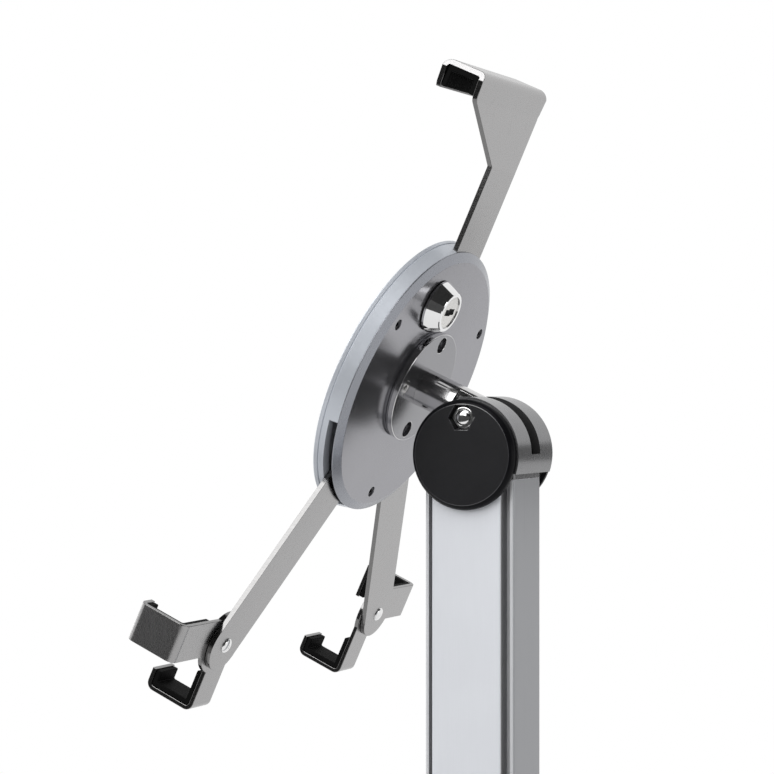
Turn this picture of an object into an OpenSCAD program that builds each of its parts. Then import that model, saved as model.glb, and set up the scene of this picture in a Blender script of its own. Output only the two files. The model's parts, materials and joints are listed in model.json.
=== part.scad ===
// Adjustable floor stand that grips a flat tablet with three arms.
// Origin: centre of the footprint, on the floor. +Z is up, the screen side faces -Y.
// The head is drawn at the photographed tilt; the arms are set to a 9.7 inch tablet.

/* [Tablet that the grips hold] */
// Width of the tablet, upright
tablet_w = 185.7; // [180:0.1:192]
// Height of the tablet
tablet_h = 241.2; // [236:0.1:248]
// Thickness of the tablet
tablet_t = 8.8; // [6:0.1:10]
// How far the hub's centre sits above the tablet's centre
hub_rise = 7.6; // [4:0.1:12]

/* [Base] */
// Width of the base plate, left to right
base_w = 300; // [260:1:400]
// Depth of the base plate, front to back
base_d = 360; // [300:1:420]
// Thickness of the steel base plate
base_t = 8; // [6:0.5:12]
// Corner radius of the base plate
base_r = 24; // [17:1:40]
// Height of the rubber feet
foot_h = 3; // [2:0.5:6]
// Radius of the rubber feet
foot_r = 14; // [10:0.5:18]
// Inset of the feet from the base plate's edges
foot_inset = 20; // [19:0.5:28]
// Inset of the floor bolt holes from the base plate's edges
anchor_inset = 52; // [46:1:70]
// Radius of the floor bolt holes
anchor_r = 5; // [4:0.25:6.5]

/* [Pole] */
// Height of the head's centre above the floor
head_z = 1050; // [800:5:1300]
// Width of the pole's core across its flanges
core_w = 26.4; // [24:0.1:27]
// Depth of the pole's core, front to back
core_d = 35.2; // [33:0.1:38]
// Wall thickness of the pole's core
core_wall = 2.2; // [1.8:0.1:3]
// Thickness of the pole's front and back flanges beside the channels
flange_edge = 1.6; // [1.2:0.1:2.4]
// Depth of the channel in each side of the pole
channel_d = 3; // [2.5:0.1:3.5]
// Width of each side panel
panel_w = 27.4; // [24:0.1:28]
// How far each side panel stands out of the core
panel_proud = 3; // [2.4:0.1:3.7]
// Thickness of the side panels
panel_t = 1.6; // [1.2:0.1:2]

/* [Head] */
// Width of the yoke
yoke_w = 34; // [33:0.1:36]
// Outer radius of the yoke's band
band_r = 21; // [20.5:0.1:23]
// Thickness of the yoke's band
band_t = 3; // [2.4:0.1:3.2]
// Width of the slot in the band
slot_w = 8.6; // [7.6:0.1:10]
// Height of the tilt bolt above the head's centre
bolt_rise = 13.5; // [12.5:0.1:14]
// Radius of the round end caps
cap_r = 20.2; // [19.5:0.1:22]
// Thickness of the end caps
cap_t = 3.5; // [3:0.1:4.5]
// Width of the six-sided recess for the nut in each end cap, across its flats
cap_hex = 9.1; // [8.9:0.1:9.4]
// Tilt of the tablet from upright, as drawn
tilt = 24.5; // [5:0.5:60]

/* [Neck] */
// Diameter of the neck rod
rod_d = 14.4; // [13:0.1:15]
// Distance from the flange's face to the tilt bolt
rod_len = 26; // [24.5:0.5:34]
// Distance from the tilt bolt to the shoulder of the rod's flat end
shoulder = 11; // [10:0.1:13]
// Diameter of the neck flange
flange_d = 43.4; // [42:0.2:45]
// Thickness of the neck flange
flange_t = 2.1; // [1.8:0.1:2.6]
// Distance of the flange's holes from its centre
flange_hole_at = 17.2; // [15:0.1:17.8]
// Radius of the flange's holes
flange_hole_r = 3.1; // [2:0.1:3.8]

/* [Hub] */
// Radius of the hub's front plate
hub_r = 54.6; // [54:0.1:58]
// Radius of the cover's rim
cover_r = 52.8; // [52.2:0.1:53.6]
// Radius of the cover's flat face, inside its bevel
cover_face_r = 49.4; // [48.8:0.1:51]
// Thickness of the hub's front plate
plate_t = 1.6; // [1.2:0.1:2.4]
// Height of the hub's ring wall
ring_h = 5.4; // [5.3:0.1:7]
// Inner radius of the ring wall
ring_inner = 50; // [49.5:0.1:51]
// Thickness of the hub's cover
cover_t = 2.1; // [1.8:0.1:3]
// Thickness of the rubber pad on the hub's front
hub_pad_t = 3.4; // [2:0.1:5]
// Radius of the hub's three cover screws' circle
screw_at = 44.6; // [43.8:0.1:45.2]
// Sideways place of the lock
lock_u = 13; // [12.6:0.1:14]
// Place of the lock above the hub's centre
lock_v = 31.6; // [31.4:0.1:33]
// Radius of the lock's bezel
bezel_r = 10; // [9:0.1:11]
// Height of the lock's bezel
bezel_h = 6.6; // [5:0.1:8]
// Radius of the lock's round plug
plug_r = 6.2; // [5.4:0.1:6.6]
// How far off centre the lock's clamping cam is
cam_throw = 1.6; // [1:0.1:2]

/* [Arms] */
// Thickness of the upper arm's steel
upper_t = 2; // [1.6:0.1:2]
// Width of the upper arm's strap
upper_w = 23.2; // [21.2:0.2:24.2]
// Sideways place of the upper arm's strap
upper_u = -3.3; // [-4:0.1:-2]
// Width of the upper arm's hook
hook_w = 61; // [50:0.2:70]
// Distance from the tablet's top edge down to where the upper arm meets the tablet
flare_end = 5.9; // [4:0.1:12]
// Length of the upper arm's flare
flare_len = 21.2; // [18:0.1:26]
// Thickness of the lower arms' steel
lower_t = 1.8; // [1.6:0.1:2.1]
// Width of the lower arms
lower_w = 20; // [18:0.2:21]
// Distance of the lower arms' pins from the hub's centre
pin_at = 18; // [17.6:0.1:19]
// Distance from the tablet's side to the corner rivet
rivet_in = 28.8; // [26:0.1:32]
// Distance from the tablet's bottom edge to the corner rivet
rivet_up = 23.8; // [20:0.1:27]

/* [Corner brackets and pads] */
// Thickness of the corner brackets' steel
bracket_t = 1.6; // [1.2:0.1:2]
// Width of the side grip
side_w = 14.3; // [12:0.1:17]
// Width of the bottom grip
bottom_w = 13.2; // [12:0.1:18]
// Thickness of the rubber lining
pad_t = 2; // [1:0.1:2.4]
// Play between the linings and the tablet
grip_play = 0.3; // [0.1:0.1:0.6]
// How far the grips reach over the tablet's front
lip = 8; // [6:0.5:10]
// How far the hook reaches over the tablet's front
hook_lip = 11; // [9:0.5:14]

/* [Hidden] */
$fn = 96;

// Clearances
run_gap = 0.1;
turn_gap = 0.05;
seat_gap = 0.2;
cut = 1;
big = 400;

// Levels above the floor
base_z = foot_h;
deck_z = base_z + base_t;
flange_plate_t = 6;
pole_z = deck_z + flange_plate_t;
yoke_drop = 9;
pole_top = head_z - yoke_drop;

// Cross-section of the pole
core_half = core_w / 2;
web_half = core_half - channel_d;
panel_out = core_half + panel_proud;
channel_half = core_d / 2 - flange_edge;
leg_t = 1.7;
panel_edge = 1;
rail_in = panel_w / 2 - leg_t - run_gap;
rail_t = 1.7;
rail_h = 2.5;
spigot_gap = 0.1;
spigot_x = web_half - core_wall - spigot_gap;
spigot_y = core_d / 2 - core_wall - spigot_gap;
core_fillet = 1.2;
spigot_len = 45;

// Side screws that hold the pole to its spigots
side_screw_r = 2;
side_head_r = 3.6;
side_head_h = 2;
side_screw_in = 5;
side_screw_from = 14;
side_screw_step = 18;

// Base fastening
foot_screw_r = 2;
foot_screw_head_r = 4;
base_bolt_r = 3;
base_bolt_head_r = 6;
base_bolt_head_h = 3;
plate_pad_w = 78;
plate_pad_d = 84;
bolt_x = 27;
bolt_y = 30;
skirt_wall = 2;
skirt_h = 12;
skirt_gap = 0.3;

// Head
pivot_z = head_z + bolt_rise;
cheek_in = core_half - 0.2;
cheek_r = band_r - band_t + 0.5;
band_back = -19.5;
band_front = 97;
bolt_r = 2.5;
boss_r = band_r - bolt_rise - 0.3;
tongue_half = slot_w / 2 - 0.3;
friction_t = 1;
friction_r = 4.2;
friction_out = tongue_half + run_gap + friction_t;
nut_flats = 8;
nut_h = 2.4;
bolt_end = 0.5;
washer_t = 0.6;
washer_r = 4.3;
cap_edge_r = 3.1;
cap_edge_turn = 65;
peg_r = 1.5;
peg_len = 2.5;
peg_at = 14;
peg_drop = 20;
yoke_floor_t = 3;

// Levels behind the tablet's front face, along the neck
pad_face = tablet_t + 0.4;
plate_face = pad_face + hub_pad_t;
plate_back = plate_face + plate_t;
ring_top = plate_back + ring_h;
cover_out = ring_top + cover_t;
backing_t = 1;
backing_in = cover_out + run_gap;
backing_out = backing_in + backing_t;
flange_out = backing_out + flange_t;
neck_reach = flange_out + rod_len;
spindle_r = 5;
spindle_end = plate_back + 0.8;
bush_r = 7;
washer_big_r = 10;
spring_t = 0.6;
spindle_washer_t = 0.8;
stack_top = ring_top - run_gap;
nut_top = stack_top - spindle_washer_t - spring_t;
nut_low = nut_top - 2.8;
nut_flats_big = 16;

// Arms inside the hub
strap_left = upper_u - upper_w / 2;
arm_space = 2.4;
upper_back = ring_top - run_gap;
upper_front = upper_back - upper_t;
lower_front = plate_back + arm_space;
lower_back = lower_front + lower_t;
eye_r = 7.5;
pin_r = 3;
pin_base_r = 6;
collar_r = 6;
tongue_low = 15;
tongue_top = 45;
tongue_right = 0;
upper_in = 3;
upper_out = 15;
stop_u = -6.5;
stop_v = 43;
stop_r = 1.5;
guide_left = 2.8;
guide_low = 14;
guide_high = 45.4;
guide_floor_right = -2.5;
guide_foot_high = 17.4;
guide_screw_r = 1.5;
guide_screw_head_r = 2.8;
guide_screw_u = -11.4;
guide_screw_v = [20, 37];

// Lock
barrel_r = 8;
barrel_end = ring_top - 1;
clip_t = 0.8;
clip_r = 10;
groove_r = 7;
cam_t = 2;
cam_top = barrel_end - 0.2;
cam_low = cam_top - cam_t;
cam_r = lock_u - tongue_right - run_gap - cam_throw;
cam_screw_r = 1.3;
cam_screw_head_r = 2.6;
gasket_t = 0.5;
bezel_face_r = 7.4;
key_w = 2.3;
key_l = 7.3;
key_step = 0.5;
key_depth = 4;

// Grips, from the tablet's edges outwards
side_out = tablet_w / 2 + grip_play + pad_t + bracket_t;
bottom_v = -(tablet_h / 2 + hub_rise);
bottom_out = bottom_v - grip_play - pad_t - bracket_t;
top_v = tablet_h / 2 - hub_rise;
top_out = top_v + grip_play + pad_t + upper_t;
lip_play = 0.2;
lip_out = -(lip_play + pad_t + bracket_t);
hook_lip_out = -(lip_play + pad_t + upper_t);
hook_play = 0.4;
hook_back = tablet_t + hook_play + pad_t + upper_t;
bracket_back = lower_front - seat_gap;
bracket_front = bracket_back - bracket_t;
bend_r = 3;
fold_least = 0.25;
fold_steps = 6;
bracket_head_r = 12;
pad_inset = 0.3;

// Lower arm geometry
rivet_u = tablet_w / 2 - rivet_in;
rivet_v = bottom_v + rivet_up;
arm_angle = atan2(rivet_u, -rivet_v);
pin_u = pin_at * sin(arm_angle);
pin_v = -pin_at * cos(arm_angle);
arm_len = norm([rivet_u - pin_u, rivet_v - pin_v]);
arm_widen = 14;
swing_in = 4;
swing_out = 42;
rivet_r = 2.5;
rivet_head_r = 3.4;
rivet_head_h = 1.8;
rivet_tail_r = 4;
rivet_tail_h = 0.7;
side_mid = rivet_v + 2.5;
bottom_mid = rivet_u - 3.5;

// Screws of the cover and of the neck flange
first_screw = 31.4;
cover_screws = [for (k = [0 : 2]) first_screw + 120 * k];
cover_screw_r = 1.25;
cover_head_r = 2;
cover_head_h = 0.8;
head_sink = 0.5;
cover_socket = 1.7;
screw_r = 1.5;
screw_head_r = 2.7;
screw_head_h = 1.2;
boss_out_r = 4.2;

// Frames
module at_head() translate([0, 0, head_z]) children();
module at_pivot() translate([0, 0, pivot_z]) rotate([-tilt, 0, 0]) children();
// Depth behind the tablet's front face runs along y, height above the hub's centre along z
module in_hub() at_pivot() translate([0, -neck_reach, 0]) children();

// A flat shape drawn in the hub's plane, from depth a to depth b
module slab(a, b) translate([0, b, 0]) rotate([90, 0, 0]) linear_extrude(b - a) children();
// A profile of radius and depth, turned about the hub's axis
module turned() rotate([-90, 0, 0]) rotate_extrude() children();
// A side profile of y and z, from x = a to x = b
module across(a, b) translate([a, 0, 0]) rotate([90, 0, 90]) linear_extrude(b - a) children();
// A rod along the depth axis
module rod(r, a, b) translate([0, a, 0]) rotate([-90, 0, 0]) cylinder(r = r, h = b - a);
// A rod along x
module axle(r, a, b) translate([a, 0, 0]) rotate([0, 90, 0]) cylinder(r = r, h = b - a);
// A six-sided rod along x, with flats at the top and bottom
module axle_hex(flats, a, b)
  translate([a, 0, 0]) rotate([0, 90, 0]) rotate([0, 0, 30])
    cylinder(d = flats / cos(30), h = b - a, $fn = 6);
// The same thing on the left as on the right
module both_sides() { children(); mirror([1, 0, 0]) children(); }
module left_side() mirror([1, 0, 0]) children();

module soft_rect(w, d, r) {
  square([w - 2 * r, d], center = true);
  square([w, d - 2 * r], center = true);
  for (x = [-1, 1], y = [-1, 1]) translate([x * (w / 2 - r), y * (d / 2 - r)]) circle(r);
}

// Folded sheet metal: an outline of even thickness along a path with round bends
function unit(a) = a / norm(a);
function perp(a) = [-a[1], a[0]];
function spin(a, w) = [a[0] * cos(w) - a[1] * sin(w), a[0] * sin(w) + a[1] * cos(w)];
function turn_of(a, b) = atan2(a[0] * b[1] - a[1] * b[0], a[0] * b[0] + a[1] * b[1]);
function fold_corner(a, b, c, r, off) =
  let (d = unit(b - a), e = unit(c - b), w = turn_of(d, e), s = sign(w), q = r - s * off)
  q < fold_least
    ? [b + off * (perp(d) + perp(e)) / (1 + d * e)]
    : let (m = b - d * r * tan(abs(w) / 2) + s * r * perp(d))
      [for (k = [0 : fold_steps]) m + spin(-s * q * perp(d), w * k / fold_steps)];
function fold_edge(path, r, off) =
  let (n = len(path))
  concat(
    [path[0] + off * perp(unit(path[1] - path[0]))],
    [for (i = [1 : n - 2]) each fold_corner(path[i - 1], path[i], path[i + 1], r, off)],
    [path[n - 1] + off * perp(unit(path[n - 1] - path[n - 2]))]);
function backwards(list) = [for (i = [len(list) - 1 : -1 : 0]) list[i]];
module fold(path, r, a, b) polygon(concat(fold_edge(path, r, a), backwards(fold_edge(path, r, b))));

// A round-edged disc profile: radius r, from depth a to b, with an edge of radius e at b
module disc_profile(r, a, b, e)
  polygon(concat([[0, a], [r, a]],
    [for (k = [0 : 6]) [r - e + e * cos(k * 15), b - e + e * sin(k * 15)]], [[0, b]]));

// Base

module at_corners(x, y) for (i = [-1, 1], j = [-1, 1]) translate([i * x, j * y, 0]) children();

module base_plate() {
  edge = 1.5;
  color([0.66, 0.67, 0.69]) difference() {
    hull() at_corners(base_w / 2 - base_r, base_d / 2 - base_r) {
      translate([0, 0, base_z]) cylinder(r = base_r, h = base_t - edge, $fn = 32);
      translate([0, 0, base_z]) cylinder(r = base_r - edge, h = base_t, $fn = 32);
    }
    at_corners(base_w / 2 - anchor_inset, base_d / 2 - anchor_inset)
      translate([0, 0, base_z - cut]) cylinder(r = anchor_r, h = base_t + 2 * cut);
    at_corners(base_w / 2 - foot_inset, base_d / 2 - foot_inset)
      translate([0, 0, base_z - cut]) cylinder(r = foot_screw_r, h = base_t - 2 + cut);
    at_corners(bolt_x, bolt_y) translate([0, 0, base_z]) {
      translate([0, 0, -cut]) cylinder(r = base_bolt_r, h = base_t + 2 * cut);
      translate([0, 0, -cut]) cylinder(r = base_bolt_head_r, h = cut);
      cylinder(r1 = base_bolt_head_r, r2 = base_bolt_r, h = base_bolt_head_h);
    }
  }
}

module base_feet() {
  color([0.08, 0.08, 0.08])
    at_corners(base_w / 2 - foot_inset, base_d / 2 - foot_inset) difference() {
      rotate_extrude() polygon([[0, foot_h], [foot_r, foot_h], [foot_r, 0.6], [foot_r - 0.6, 0], [0, 0]]);
      translate([0, 0, -cut]) cylinder(r = foot_screw_r, h = foot_h + 2 * cut);
      translate([0, 0, -cut]) cylinder(r = foot_screw_head_r + run_gap, h = foot_h / 2 + cut);
    }
}

module foot_screws() {
  color([0.7, 0.7, 0.72])
    at_corners(base_w / 2 - foot_inset, base_d / 2 - foot_inset) difference() {
      union() {
        translate([0, 0, foot_h / 2 - 1]) cylinder(r = foot_screw_head_r, h = 1);
        translate([0, 0, foot_h / 2 - 1]) cylinder(r = foot_screw_r, h = foot_h / 2 + base_t - 2);
      }
      translate([0, 0, -cut]) cylinder(d = 2.5, h = foot_h / 2 + cut, $fn = 6);
    }
}

module foot_flange() {
  color([0.5, 0.5, 0.52]) difference() {
    union() {
      translate([0, 0, deck_z]) linear_extrude(flange_plate_t) soft_rect(plate_pad_w, plate_pad_d, 6);
      translate([0, 0, deck_z]) linear_extrude(flange_plate_t + spigot_len) spigot_outline();
    }
    at_corners(bolt_x, bolt_y) translate([0, 0, deck_z - cut])
      cylinder(r = base_bolt_r, h = flange_plate_t + 2 * cut);
    spigot_screw_holes(pole_z, 1);
  }
}

module base_bolts() {
  color([0.75, 0.75, 0.77]) at_corners(bolt_x, bolt_y) translate([0, 0, base_z]) difference() {
    union() {
      cylinder(r1 = base_bolt_head_r, r2 = base_bolt_r, h = base_bolt_head_h);
      cylinder(r = base_bolt_r, h = base_t + flange_plate_t - cut);
    }
    translate([0, 0, -cut]) cylinder(d = 4, h = cut + 2, $fn = 6);
  }
}

module pole_skirt() {
  color([0.1, 0.1, 0.11]) translate([0, 0, deck_z]) difference() {
    linear_extrude(skirt_h)
      soft_rect(plate_pad_w + 2 * skirt_wall + 1, plate_pad_d + 2 * skirt_wall + 1, 8);
    translate([0, 0, -cut]) linear_extrude(skirt_h - skirt_wall + cut)
      soft_rect(plate_pad_w + 1, plate_pad_d + 1, 6.5);
    linear_extrude(skirt_h + cut) {
      square([core_w + 2 * skirt_gap, core_d + 2 * skirt_gap], center = true);
      square([2 * (panel_out + skirt_gap), panel_w + 2 * skirt_gap], center = true);
    }
  }
}

// Pole

module spigot_outline() soft_rect(2 * spigot_x, 2 * spigot_y, core_fillet);

// Screw places along a spigot that starts at level z and runs up (1) or down (-1)
module at_side_screws(z, way)
  for (k = [0, 1]) translate([0, 0, z + way * (side_screw_from + k * side_screw_step)]) children();
module spigot_screw_holes(z, way)
  at_side_screws(z, way) both_sides() axle(side_screw_r, side_screw_in, spigot_x + cut);

module core_outline() difference() {
  union() {
    square([2 * web_half, core_d - 2 * core_fillet], center = true);
    intersection() {
      soft_rect(core_w, core_d, core_fillet);
      for (j = [-1, 1]) translate([0, j * (core_d - flange_edge) / 2])
        square([core_w + cut, flange_edge], center = true);
    }
    for (i = [-1, 1], j = [-1, 1])
      translate([i * (web_half + rail_h / 2 - 0.5), j * (rail_in - rail_t / 2)])
        square([rail_h + 1, rail_t], center = true);
  }
  soft_rect(2 * (web_half - core_wall), core_d - 2 * core_wall, core_fillet);
}

module pole() {
  color([0.6, 0.61, 0.63]) difference() {
    translate([0, 0, pole_z]) linear_extrude(pole_top - pole_z) core_outline();
    at_side_screws(pole_z, 1) both_sides() axle(side_screw_r, spigot_x - cut, core_half);
    at_side_screws(pole_top, -1) both_sides() axle(side_screw_r, spigot_x - cut, core_half);
  }
}

module panel_outline() {
  start = web_half + run_gap;
  difference() {
    union() {
      translate([start, -panel_w / 2]) square([panel_out - start - panel_edge, panel_w]);
      translate([start, -panel_w / 2 + panel_edge]) square([panel_out - start, panel_w - 2 * panel_edge]);
      for (j = [-1, 1]) translate([panel_out - panel_edge, j * (panel_w / 2 - panel_edge)])
        circle(panel_edge);
    }
    translate([web_half, -panel_w / 2 + leg_t])
      square([panel_out - web_half - panel_t, panel_w - 2 * leg_t]);
  }
}

module side_panel_right() {
  color([0.84, 0.85, 0.88])
    translate([0, 0, pole_z]) linear_extrude(pole_top - pole_z) panel_outline();
}
module side_panel_left() left_side() side_panel_right();

module side_screws(z, way) {
  color([0.7, 0.7, 0.72]) at_side_screws(z, way) both_sides() difference() {
    union() {
      axle(side_screw_r - 0.02, side_screw_in + 0.5, web_half + 0.5);
      translate([web_half, 0, 0]) rotate([0, 90, 0])
        cylinder(r1 = side_head_r, r2 = side_head_r - 0.8, h = side_head_h);
    }
    axle_hex(2.5, web_half + 0.6, web_half + side_head_h + cut);
  }
}
module foot_side_screws() side_screws(pole_z, 1);
module yoke_side_screws() side_screws(pole_top, -1);

// Head

module wedge(r, a, b)
  polygon(concat([[0, 0]], [for (k = [0 : 12]) let (w = a + (b - a) * k / 12) r * [cos(w), sin(w)]]));

module band_outline() intersection() {
  difference() {
    circle(band_r);
    circle(band_r - band_t);
  }
  wedge(2 * band_r, band_back, band_front);
}

module cheek_outline() intersection() {
  circle(cheek_r);
  translate([-band_r, -yoke_drop]) square([2 * band_r, band_r + yoke_drop]);
}

module at_bolt() at_head() translate([0, 0, bolt_rise]) children();
module at_pegs()
  for (w = [-peg_drop, 180 + peg_drop]) at_head() rotate([w, 0, 0]) translate([0, peg_at, 0]) children();

module yoke() {
  half = yoke_w / 2;
  color([0.5, 0.5, 0.52]) difference() {
    union() {
      at_head() across(-half, half) band_outline();
      both_sides() at_head() across(cheek_in, half) cheek_outline();
      both_sides() at_bolt() axle(boss_r, friction_out, half);
      at_head() translate([0, 0, -yoke_drop]) linear_extrude(yoke_floor_t)
        soft_rect(core_w, core_d, core_fillet);
      translate([0, 0, pole_top - spigot_len]) linear_extrude(spigot_len + 1) spigot_outline();
    }
    at_head() translate([-slot_w / 2, -band_r - cut, 0])
      cube([slot_w, 2 * (band_r + cut), band_r + cut]);
    at_bolt() axle(bolt_r + 0.1, -half - cut, half + cut);
    both_sides() at_pegs() axle(peg_r, half - peg_len - seat_gap, half + cut);
    spigot_screw_holes(pole_top, -1);
  }
}

// Half of the cap's outline: a flat face with a crisp edge, then a rounded rim
module cap_profile() {
  rim = cap_t - cap_edge_r * sin(cap_edge_turn);
  polygon(concat([[0, 0], [cap_r, 0]],
    [for (k = [0 : 6]) let (w = cap_edge_turn * k / 6)
      [cap_r - cap_edge_r * (1 - cos(w)), rim + cap_edge_r * sin(w)]],
    [[0, cap_t]]));
}

module end_cap() {
  half = yoke_w / 2;
  difference() {
    union() {
      at_head() translate([half, 0, 0]) rotate([0, 90, 0])
        rotate_extrude() cap_profile();
      at_pegs() axle(peg_r, half - peg_len, half + cut);
    }
    at_bolt() axle_hex(cap_hex, half - cut, half + cap_t + cut);
  }
}
module end_cap_right() color([0.1, 0.1, 0.11]) end_cap();
module end_cap_left() color([0.1, 0.1, 0.11]) left_side() end_cap();

module tilt_bolt() {
  seat = yoke_w / 2 + washer_t;
  color([0.82, 0.82, 0.84]) at_bolt() {
    axle(bolt_r, -seat - cut, seat + nut_h + bolt_end);
    intersection() {
      axle_hex(nut_flats, -seat - nut_h, -seat);
      translate([-seat - nut_h, 0, 0]) rotate([0, 90, 0])
        cylinder(d1 = nut_flats, d2 = nut_flats + 4, h = nut_h + cut);
    }
  }
}

module tilt_nut() {
  seat = yoke_w / 2 + washer_t;
  color([0.82, 0.82, 0.84]) at_bolt() difference() {
    intersection() {
      axle_hex(nut_flats, seat, seat + nut_h);
      translate([seat - cut, 0, 0]) rotate([0, 90, 0])
        cylinder(d1 = nut_flats + 5, d2 = nut_flats, h = nut_h + cut);
    }
    axle(bolt_r, seat - cut, seat + nut_h + cut);
  }
}

module bolt_washers() {
  half = yoke_w / 2;
  color([0.75, 0.75, 0.77]) both_sides() at_bolt() difference() {
    axle(washer_r, half, half + washer_t);
    axle(bolt_r, half - cut, half + washer_t + cut);
  }
}

module friction_washers() {
  color([0.85, 0.85, 0.8]) both_sides() at_bolt() difference() {
    axle(friction_r, tongue_half + run_gap, friction_out);
    axle(bolt_r + turn_gap, tongue_half, friction_out + cut);
  }
}

// Neck

module neck_rod() {
  fillet = 2;
  root = rod_d / 2 + fillet;
  color([0.72, 0.72, 0.74]) difference() {
    union() {
      intersection() {
        union() {
          in_hub() rod(rod_d / 2, flange_out, neck_reach);
          at_pivot() axle(rod_d / 2, -tongue_half, tongue_half);
        }
        union() {
          at_pivot() translate([-band_r, -rod_len - cut, -band_r])
            cube([2 * band_r, rod_len + cut - shoulder, 2 * band_r]);
          at_pivot() translate([-tongue_half, -rod_len, -band_r])
            cube([2 * tongue_half, rod_len + band_r, 2 * band_r]);
        }
      }
      in_hub() turned() polygon(concat([[0, flange_out]],
        [for (k = [0 : 5]) let (w = 90 * k / 6) [root - fillet * sin(w), flange_out + fillet * (1 - cos(w))]],
        [[rod_d / 2, flange_out + fillet], [0, flange_out + fillet]]));
      in_hub() rod(spindle_r, spindle_end, flange_out + cut);
    }
    at_pivot() axle(bolt_r + turn_gap, -rod_d, rod_d);
  }
}

module at_flange_holes(angles)
  for (w = angles) rotate([0, -w, 0]) translate([flange_hole_at, 0, 0]) children();

module neck_flange() {
  color([0.74, 0.74, 0.76]) in_hub() difference() {
    rod(flange_d / 2, backing_out, flange_out);
    rod(spindle_r, backing_out - cut, flange_out + cut);
    at_flange_holes([90, 270]) rod(flange_hole_r, backing_out - cut, flange_out + cut);
    at_flange_holes([0, 180]) {
      rod(screw_r, backing_out - cut, flange_out + cut);
      translate([0, flange_out - screw_head_h, 0]) rotate([-90, 0, 0])
        cylinder(r1 = screw_r, r2 = screw_head_r, h = screw_head_h);
    }
  }
}

module backing_plate() {
  color([0.6, 0.6, 0.62]) in_hub() difference() {
    rod(flange_d / 2 - 0.6, backing_in, backing_out);
    rod(spindle_r, backing_in - cut, backing_out + cut);
    at_flange_holes([90, 270]) rod(flange_hole_r, backing_in - cut, backing_out + cut);
    at_flange_holes([0, 180]) rod(screw_r, backing_in - cut, backing_out + cut);
  }
}

module flange_screws() {
  color([0.85, 0.85, 0.87]) in_hub() at_flange_holes([0, 180]) difference() {
    union() {
      rod(screw_r, backing_in + 0.1, flange_out - 0.2);
      translate([0, flange_out - screw_head_h, 0]) rotate([-90, 0, 0])
        cylinder(r1 = screw_r, r2 = screw_head_r, h = screw_head_h);
    }
    translate([0, flange_out - 1, 0]) rotate([-90, 0, 0]) cylinder(d = 2, h = cut + 1, $fn = 6);
  }
}

module spindle_washer() {
  color([0.75, 0.75, 0.77]) in_hub() difference() {
    rod(washer_big_r, stack_top - spindle_washer_t, stack_top);
    rod(spindle_r, ring_top - ring_h, ring_top);
  }
}

module spindle_spring() {
  color([0.55, 0.55, 0.57]) in_hub() difference() {
    rod(washer_big_r - 1, nut_top, nut_top + spring_t);
    rod(spindle_r, nut_top - cut, ring_top);
  }
}

module spindle_nut() {
  color([0.75, 0.75, 0.77]) in_hub() difference() {
    translate([0, nut_low, 0]) rotate([-90, 0, 0])
      cylinder(d = nut_flats_big / cos(30), h = nut_top - nut_low, $fn = 6);
    rod(spindle_r, nut_low - cut, nut_top + cut);
  }
}

// Hub

module spindle_bush() {
  color([0.9, 0.9, 0.86]) in_hub() difference() {
    rod(bush_r, ring_top, cover_out);
    rod(spindle_r + turn_gap, ring_top - cut, cover_out + cut);
  }
}

module at_lock() translate([lock_u, 0, lock_v]) children();
module at_cover_screws() for (w = cover_screws) rotate([0, -w, 0]) translate([screw_at, 0, 0]) children();

module hub_cover() {
  color([0.62, 0.63, 0.66]) in_hub() difference() {
    turned() polygon([[0, ring_top], [cover_r, ring_top], [cover_r, ring_top + 0.4],
      [cover_face_r, cover_out], [0, cover_out]]);
    rod(bush_r, ring_top - cut, cover_out + cut);
    at_lock() rod(barrel_r, ring_top - cut, cover_out + cut);
    at_cover_screws() {
      rod(cover_screw_r, ring_top - cut, cover_out + cut);
      rod(cover_head_r + turn_gap, cover_out - head_sink - cover_head_h, cover_out + cut);
    }
  }
}

// Opening that the right lower arm sweeps through in the ring wall
module swing_opening() {
  side = lower_w / 2 + 0.4;
  reach = 2 * hub_r;
  low = arm_angle - swing_in - 0.5;
  high = arm_angle + swing_out + 0.5;
  pin = [pin_u, pin_v];
  polygon([
    pin + side * [-cos(low), -sin(low)],
    pin + side * [-cos(low), -sin(low)] + reach * [sin(low), -cos(low)],
    pin + reach * [sin(high), -cos(high)],
    pin + side * [cos(high), sin(high)] + reach * [sin(high), -cos(high)],
    pin + side * [cos(high), sin(high)]]);
}

module hub_ring() {
  slope = (hub_r - cover_r) / (ring_top - plate_face);
  low_r = hub_r - slope * plate_t - 0.3;
  color([0.66, 0.68, 0.72]) in_hub() difference() {
    union() {
      difference() {
        turned() polygon([[0, plate_back], [low_r, plate_back], [low_r + 0.2, plate_back + 0.5],
          [cover_r, ring_top], [0, ring_top]]);
        rod(ring_inner, plate_back - cut, ring_top + cut);
      }
      at_cover_screws() {
        rod(boss_out_r, plate_back, ring_top);
        translate([0, plate_back, -boss_out_r / 2]) cube([ring_inner - screw_at + 1, ring_h, boss_out_r]);
      }
    }
    at_cover_screws() rod(cover_screw_r, plate_back - cut, ring_top + cut);
    slab(upper_front - run_gap, ring_top + cut) translate([strap_left - run_gap, 0])
      square([upper_w + 2 * run_gap, 2 * hub_r]);
    both_sides() slab(lower_front - run_gap, ring_top + cut) swing_opening();
  }
}

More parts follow.
